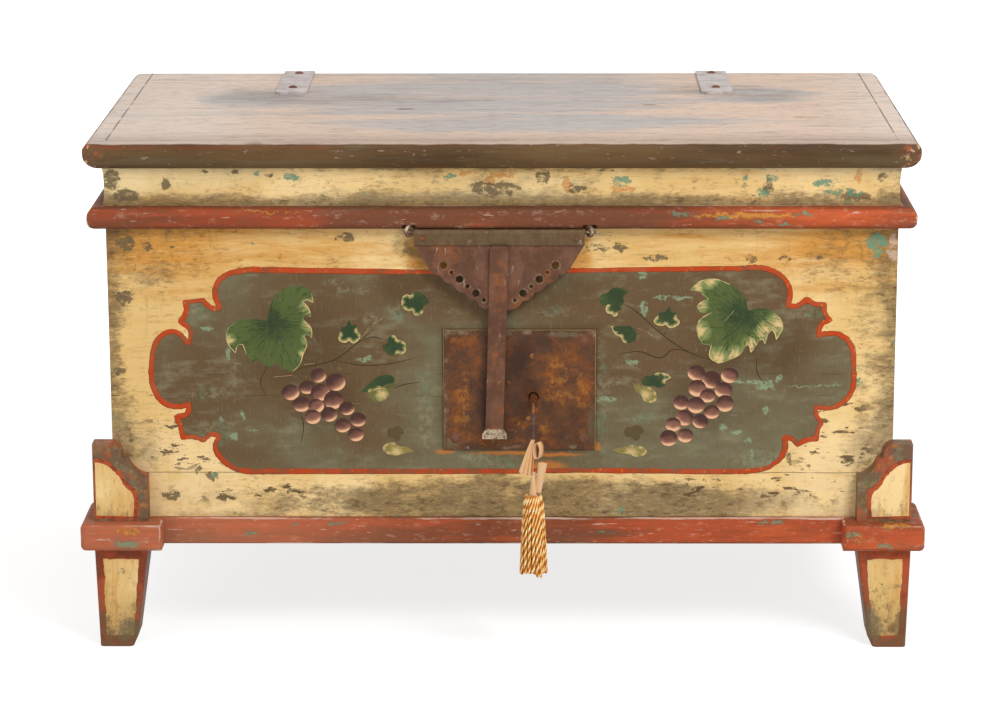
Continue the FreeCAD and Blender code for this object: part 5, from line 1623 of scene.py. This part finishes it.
def twisted(name, line, radius, twist_length, taper=2):
    """A cord of twisted plies along a line, with an attribute that is 1 on the crests."""
    verts, faces, crests = [], [], []
    total = sum((b - a).length for a, b in zip(line, line[1:]))
    side = Vector((1, 0, 0))
    count = len(line)
    for index, here in enumerate(line):
        way = (line[min(index + 1, count - 1)] - line[max(index - 1, 0)]).normalized()
        side = (side - way * side.dot(way)).normalized()
        other = way.cross(side)
        turn = 2 * math.pi * total * index / (count - 1) / twist_length
        ends = min(index, count - 1 - index)
        shrink = 1.0 if ends >= taper else 0.35 + 0.65 * ends / taper
        for step in range(STRAND_SIDES):
            angle = 2 * math.pi * step / STRAND_SIDES
            crest = abs(math.cos(PLIES * angle / 2))
            out = radius * (0.62 + 0.38 * crest) * shrink
            spin = angle + turn
            verts.append(here + side * (out * math.cos(spin)) + other * (out * math.sin(spin)))
            crests.append(crest)
    for index in range(count - 1):
        for step in range(STRAND_SIDES):
            a = index * STRAND_SIDES + step
            b = index * STRAND_SIDES + (step + 1) % STRAND_SIDES
            faces.append((a, b, b + STRAND_SIDES, a + STRAND_SIDES))
    faces.append(tuple(range(STRAND_SIDES - 1, -1, -1)))
    faces.append(tuple((count - 1) * STRAND_SIDES + step for step in range(STRAND_SIDES)))
    mesh = bpy.data.meshes.new(name)
    mesh.from_pydata([tuple(v) for v in verts], [], faces)
    mesh.polygons.foreach_set("use_smooth", [True] * len(mesh.polygons))
    obj = bpy.data.objects.new(name, mesh)
    bpy.context.scene.collection.objects.link(obj)
    store(obj, "crest", crests)
    return obj


def thread_paint(name, dark, middle, light, fine):
    """Twisted thread: painted shade in its grooves and painted highlight on its crests."""
    coat = Coat(name, 0.25, sheen_weight=0.2)
    crest = coat.attribute("crest")
    fibres = coat.cloud(900, 2, 0.5, (1, 1, 0.5))
    tone = coat.cloud(90, 4)
    crest_light_and_shade = crest + (fibres - 0.5) * fine + (tone - 0.5) * 0.9
    coat.base(crest_light_and_shade.rise(0.3, 0.74), dark, middle)
    coat.lay(crest_light_and_shade.rise(0.74, 1.06), light)
    return coat.finish(0.6 + fibres * 0.2, crest * 0.6 + fibres * 0.3, 0.0002)


def ribbon_paint():
    """Cream cloth, golden on its sunken pleats, with painted shade inside its rolls, on the loop's back and in the
    deepest pleats.
    """
    coat = Coat("ribbon_cloth", 0.3, sheen_weight=0.3)
    fold = coat.attribute("fold")
    weave = coat.cloud(1500, 1, 0.5, (1, 1, 0.2))
    tone = coat.cloud(120, 4, 0.6)
    coat.base(tone.rise(0.48, 0.7) * 0.5, "ribbon", "lid_peach")
    coat.lay((fold + (tone - 0.5) * 0.4).rise(0.16, 0.5) * 0.85, "ribbon_gold")
    coat.lay((fold + (tone - 0.5) * 0.3).rise(0.62, 0.92) * 0.9, "ribbon_shade")
    coat.lay(weave.rise(0.55, 0.75) * 0.12, "ochre")
    return coat.finish(0.62 + weave * 0.15, weave, 0.00012)


def knot_centre():
    low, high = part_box("tassel_knot")
    return (low + high) / 2


class CHEST_OT_tie_cord(bpy.types.Operator):
    """Tie the dark cord to the key's bow with a wound knot"""

    bl_idname = "chest.tie_cord"
    bl_label = "Tie the cord"

    def execute(self, context):
        centre = knot_centre()
        turns = []
        for tilt, size in KNOT_TURNS:
            bpy.ops.object.select_all(action="DESELECT")
            bpy.ops.mesh.primitive_torus_add(
                major_radius=size * MM * 0.75, minor_radius=0.72 * MM, major_segments=28, minor_segments=10,
                location=(0, 0, 0), rotation=(math.radians(90 + tilt * 0.3), math.radians(tilt), 0),
            )
            ring = context.view_layer.objects.active
            bpy.ops.object.transform_apply(location=True, rotation=True, scale=True)
            ring.data.transform(Matrix.Translation(centre))
            ring.data.polygons.foreach_set("use_smooth", [True] * len(ring.data.polygons))
            store(ring, "crest", [0.6] * len(ring.data.vertices))
            turns.append(ring)
        material = thread_paint("cord_thread", "cord_groove_shade", "cord", "cord_crest_highlight", 0.5)
        knot = joined(turns, "cord_knot")
        knot.data.materials.append(material)
        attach(knot, "knot")
        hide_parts("tassel_knot")
        route = [
            (centre.x + sway * MM, centre.y, centre.z - down * CORD_RUN * MM)
            for sway, down in CORD_SWAY
        ]
        line = smooth_line(route, CORD_STEPS)
        cord = twisted("hanging_cord", line, CORD_THICKNESS / 2 * MM, 4.2 * MM, taper=1)
        cord.data.materials.append(material)
        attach(cord, "tassel")
        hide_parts("tassel_cord")
        run = sum((b - a).length for a, b in zip(line, line[1:]))
        return {"FINISHED"}


def sheet_of(name, rows, folds):
    """A cloth surface through rows of points, thickened and smoothed; folds says how sunken each point is."""
    verts = [tuple(point) for row in rows for point in row]
    across = len(rows[0])
    faces = []
    for r in range(len(rows) - 1):
        for c in range(across - 1):
            a = r * across + c
            faces.append((a, a + 1, a + across + 1, a + across))
    mesh = bpy.data.meshes.new(name)
    mesh.from_pydata(verts, [], faces)
    obj = bpy.data.objects.new(name, mesh)
    bpy.context.scene.collection.objects.link(obj)
    store(obj, "fold", [value for row in folds for value in row])
    only(obj)
    thick = obj.modifiers.new("thick", "SOLIDIFY")
    thick.thickness = 0.4 * MM
    thick.offset = 0
    soft = obj.modifiers.new("soft", "SUBSURF")
    soft.levels = soft.render_levels = 1
    bpy.ops.object.modifier_apply(modifier="thick")
    bpy.ops.object.modifier_apply(modifier="soft")
    obj.data.polygons.foreach_set("use_smooth", [True] * len(obj.data.polygons))
    return obj


def cloth_part(name, grid, place):
    """A sheet of rows and columns; place gives the point and the fold for two shares from 0 to 1."""
    rows, columns = grid
    cells = [[place(row / rows, column / columns) for column in range(columns + 1)] for row in range(rows + 1)]
    points, folds = ([[cell[part] for cell in row] for row in cells] for part in (0, 1))
    return sheet_of(name, points, folds)


def ribbon_wing(top, x, y):
    """Pleated wing that fans out to the lower left."""

    def place(down, s):
        left = Vector((-2.4 - 14.4 * down**0.9, 1.0 + 38 * down))
        right = Vector((1.6 - 2.0 * down, 1.0 + 42 * down))
        across, below = left.lerp(right, s)
        bulge = 1.4 * math.sin(math.pi * s) * down
        wave = math.cos(7 * math.pi * s)
        pleat = wave * (0.5 + 1.3 * down)
        point = (x + across * MM, y + (-1.8 + pleat * (0.4 + 0.6 * s)) * MM, top - (below + bulge) * MM)
        # The deepest pleats, by the wing's inner edge, reach the painted shade.
        return point, max(0.0, wave) ** 2 * (0.42 + 0.4 * s) + 0.5 * s**4

    return cloth_part("ribbon_wing", WING_GRID, place)


def ribbon_loop(centre, wide, tall, depth, start, turns, lean):
    """A band of ribbon bent into a loop that can be looked through from the front."""

    def place(round_share, side):
        angle = start + 2 * math.pi * turns * round_share
        s = 2 * side - 1
        offset = Vector((wide * math.cos(angle) + s * lean, s * depth / 2, tall * math.sin(angle)))
        # The loop's back side gets painted shade.
        return centre + offset, 0.05 + 0.9 * max(0.0, s + 0.2)

    return cloth_part("ribbon_loop", LOOP_GRID, place)


def ribbon_tube(top, low, radius_top, radius_low, turns, tip):
    """A rolled end: a sheet wound a little more than once about a leaning axis, its mouth cut at a slant."""
    axis = (low - top).normalized()
    side = axis.cross(Vector((0, 1, 0))).normalized()
    other = axis.cross(side)

    def place(wound, t):
        angle = 2 * math.pi * turns * wound + 0.6
        radius = (radius_top + (radius_low - radius_top) * t) * (1 - 0.16 * wound)
        wave = 0.35 * MM * math.sin(3 * angle + 5 * t)
        around = side * math.cos(angle) + other * math.sin(angle)
        point = top.lerp(low, t) + around * (radius + wave) + axis * (tip * around.y * (1 - t))
        # Painted shade on the inner wrap and on the back inside the mouth.
        return point, max(0.0, 2 * (wound - 0.6), 0.95 * max(0.0, around.y) * max(0.0, 1 - 2.5 * t))

    return cloth_part("ribbon_tube", TUBE_GRID, place)


class CHEST_OT_fold_ribbon(bpy.types.Operator):
    """Fold the cream ribbon: a pleated wing, a small loop, a rolled end and a neck"""

    bl_idname = "chest.fold_ribbon"
    bl_label = "Fold the ribbon"

    def execute(self, context):
        centre = knot_centre()
        low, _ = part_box("tassel_cord")
        x, y, top = centre.x, centre.y, low.z

        def at(across, depth, down):
            return Vector((x + across * MM, y + depth * MM, top - down * MM))

        wing = ribbon_wing(top, x, y)
        loop = ribbon_loop(at(5.6, 0.6, 14), 3.6 * MM, 9.5 * MM, 9 * MM, 1.9, 0.94, 2.8 * MM)
        tube = ribbon_tube(at(10.4, -3.6, 28), at(5.0, 0.0, 62), 5.3 * MM, 4.4 * MM, 1.2, 3.0 * MM)
        neck = ribbon_tube(at(0.2, 0.0, 38), at(0.0, 0.2, 66.5), 2.2 * MM, 4.6 * MM, 1.1, 0.0)
        ribbon = joined([wing, loop, tube, neck], "ribbon")
        ribbon.data.materials.append(ribbon_paint())
        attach(ribbon, "tassel")
        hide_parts("tassel_ribbon")
        return {"FINISHED"}


class CHEST_OT_twist_tassel(bpy.types.Operator):
    """Twist the golden cords of the tassel's skirt"""

    bl_idname = "chest.twist_tassel"
    bl_label = "Twist the tassel"

    def execute(self, context):
        sizes = context.scene.chest_tassel
        low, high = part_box("tassel_skirt")
        centre = (low + high) / 2
        widest = (high.x - low.x) / 2
        thick = sizes.strand_thickness
        chance = random.Random(3)
        strands = []
        rings = (
            (sizes.outer_strands, widest - thick * 0.52, 6.9 * MM),
            (sizes.inner_strands, widest * 0.52, 3.2 * MM),
        )
        for count, out, neck in rings:
            for index in range(count):
                angle = 2 * math.pi * (index + chance.uniform(-0.14, 0.14)) / count
                foot = low.z + 0.4 * MM + chance.uniform(0, 5.5) * MM
                way = Vector((math.cos(angle), math.sin(angle), 0))
                drift = Vector((-way.y, way.x, 0)) * chance.uniform(-1.2, 1.2) * MM
                route = []
                for down, outward in SKIRT_PROFILE:
                    middle = Vector((centre.x, centre.y, high.z + (foot - high.z) * down))
                    route.append(tuple(middle + way * (neck + (out - neck) * outward) + drift * down))
                line = smooth_line(route, STRAND_STEPS)
                strands.append(twisted("strand", line, thick / 2, sizes.twist_length * chance.uniform(0.9, 1.1)))
        skirt = joined(strands, "tassel_cords")
        skirt.data.materials.append(thread_paint("gold_thread", sizes.gold_groove_shade, sizes.gold, sizes.gold_crest_highlight, 0.6))
        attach(skirt, "tassel")
        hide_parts("tassel_skirt")
        return {"FINISHED"}


# Stage: each lamp's place and size, and how far the floor glows by itself, near the chest as a share of that

LAMP_AIM = (0, 0, 0.3)
LAMPS = {"key": ((1.5, -2.4, 2.6), 1.1), "fill": ((-2.3, -2.8, 1.5), 2.4), "top": ((0.2, 0.1, 2.9), 2.6)}
FLOOR_SIZE = 30
FLOOR_GLOW = 1.5
FLOOR_GLOW_SHARE = 0.52


def area_lamp(name, place, size, power):
    lamp = bpy.data.lights.new(name, "AREA")
    lamp.shape = "SQUARE"
    lamp.size = size
    lamp.energy = power
    obj = bpy.data.objects.new(name, lamp)
    obj.location = place
    obj.rotation_euler = (Vector(LAMP_AIM) - Vector(place)).to_track_quat("-Z", "Y").to_euler()
    bpy.context.scene.collection.objects.link(obj)


def camera_matrix(stage):
    """Looks along the yaw and pitch, and leans by the roll."""
    forward = Vector((
        -math.sin(stage.yaw) * math.cos(stage.pitch),
        math.cos(stage.yaw) * math.cos(stage.pitch),
        -math.sin(stage.pitch),
    ))
    right = forward.cross(Vector((0, 0, 1))).normalized()
    up = right.cross(forward)
    leaning = right * math.cos(stage.roll) - up * math.sin(stage.roll)
    above = right * math.sin(stage.roll) + up * math.cos(stage.roll)
    turn = Matrix((leaning, above, -forward)).transposed().to_4x4()
    return Matrix.Translation(stage.camera) @ turn


def seen_rays(tree):
    """1 for the rays that show the surround itself: straight to the camera, mirrored or refracted."""
    path = tree.nodes.new("ShaderNodeLightPath")
    total = path.outputs["Is Camera Ray"]
    for other in ("Is Glossy Ray", "Is Transmission Ray"):
        most = tree.nodes.new("ShaderNodeMath")
        most.operation = "MAXIMUM"
        tree.links.new(total, most.inputs[0])
        tree.links.new(path.outputs[other], most.inputs[1])
        total = most.outputs[0]
    return total


class CHEST_OT_set_stage(bpy.types.Operator):
    """Set the pale floor, the soft lamps and the camera"""

    bl_idname = "chest.set_stage"
    bl_label = "Set the stage"

    def execute(self, context):
        scene = context.scene
        stage = scene.chest_stage
        scene.view_settings.view_transform = "Standard"
        bpy.ops.object.select_all(action="DESELECT")
        bpy.ops.mesh.primitive_plane_add(size=FLOOR_SIZE, location=(0, 0, 0))
        floor = context.view_layer.objects.active
        floor.name = "floor"
        floor.data.materials.append(floor_finish(stage))
        world = bpy.data.worlds.new("surround")
        scene.world = world
        world.use_nodes = True
        tree = world.node_tree
        back = tree.nodes["Background"]
        strength = tree.nodes.new("ShaderNodeMapRange")
        strength.inputs["To Min"].default_value = stage.surround
        tree.links.new(seen_rays(tree), strength.inputs["Value"])
        tree.links.new(strength.outputs["Result"], back.inputs["Strength"])
        back.inputs["Color"].default_value = (1, 1, 1, 1)
        for name, (place, size) in LAMPS.items():
            area_lamp(name + "_lamp", place, size, getattr(stage, name + "_light"))
        camera = bpy.data.cameras.new("camera")
        camera.sensor_width = 36
        camera.sensor_fit = "HORIZONTAL"
        camera.lens = stage.lens
        camera.clip_end = 100
        eye = bpy.data.objects.new("camera", camera)
        scene.collection.objects.link(eye)
        eye.matrix_world = camera_matrix(stage)
        scene.camera = eye
        return {"FINISHED"}


def floor_finish(stage):
    """A pale floor that reads as white where it is fully lit and keeps the shadows."""
    coat = Coat("floor", 0.1, roughness=0.9)
    coat.put(coat.shader.inputs["Base Color"], stage.floor)
    glow = coat.node("ShaderNodeEmission", {}, {"Color": (1, 1, 1), "Strength": FLOOR_GLOW})
    away = coat.math("SQRT", coat.x * coat.x + coat.y * coat.y)
    far = away.rise(0.85, 1.5)
    seen = Amount(coat, seen_rays(coat.tree))
    share_of_glow = seen * (far * (1 - FLOOR_GLOW_SHARE) + FLOOR_GLOW_SHARE)
    both = coat.node(
        "ShaderNodeMixShader", {}, {0: share_of_glow, 1: coat.shader.outputs[0], 2: glow.outputs[0]}
    )
    coat.tree.links.new(both.outputs[0], coat.tree.nodes["Material Output"].inputs["Surface"])
    return coat.material


class CHEST_PT_sidebar(bpy.types.Panel):
    """Steps and settings of the chest"""

    bl_label = "Painted chest"
    bl_idname = "CHEST_PT_sidebar"
    bl_space_type = "VIEW_3D"
    bl_region_type = "UI"
    bl_category = "Chest"

    def draw(self, context):
        for step in STEPS:
            self.layout.operator(step)
        for name in ("chest_paint", "chest_iron", "chest_tassel", "chest_stage"):
            group = getattr(context.scene, name)
            box = self.layout.box()
            box.label(text=name.replace("_", " ").capitalize())
            for key in group.bl_rna.properties.keys():
                if key not in ("rna_type", "name"):
                    box.prop(group, key)


GROUPS = {
    "chest_paint": ChestPaint,
    "chest_iron": ChestIron,
    "chest_tassel": ChestTassel,
    "chest_stage": ChestStage,
}
OPERATORS = (
    CHEST_OT_paint_lid,
    CHEST_OT_paint_boards,
    CHEST_OT_paint_trim,
    CHEST_OT_draw_panel,
    CHEST_OT_draw_leaves,
    CHEST_OT_draw_grapes,
    CHEST_OT_draw_brackets,
    CHEST_OT_finish_iron,
    CHEST_OT_tie_cord,
    CHEST_OT_fold_ribbon,
    CHEST_OT_twist_tassel,
    CHEST_OT_set_stage,
)
STEPS = tuple(operator.bl_idname for operator in OPERATORS)


def register():
    for kind in (*GROUPS.values(), *OPERATORS, CHEST_PT_sidebar):
        bpy.utils.register_class(kind)
    for name, kind in GROUPS.items():
        setattr(bpy.types.Scene, name, bpy.props.PointerProperty(type=kind))


def unregister():
    for name in GROUPS:
        delattr(bpy.types.Scene, name)
    for kind in reversed((*GROUPS.values(), *OPERATORS, CHEST_PT_sidebar)):
        bpy.utils.unregister_class(kind)


def main():
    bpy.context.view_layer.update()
    register()
    for step in STEPS:
        group, name = step.split(".")
        getattr(getattr(bpy.ops, group), name)()


if __name__ == "__main__":
    main()
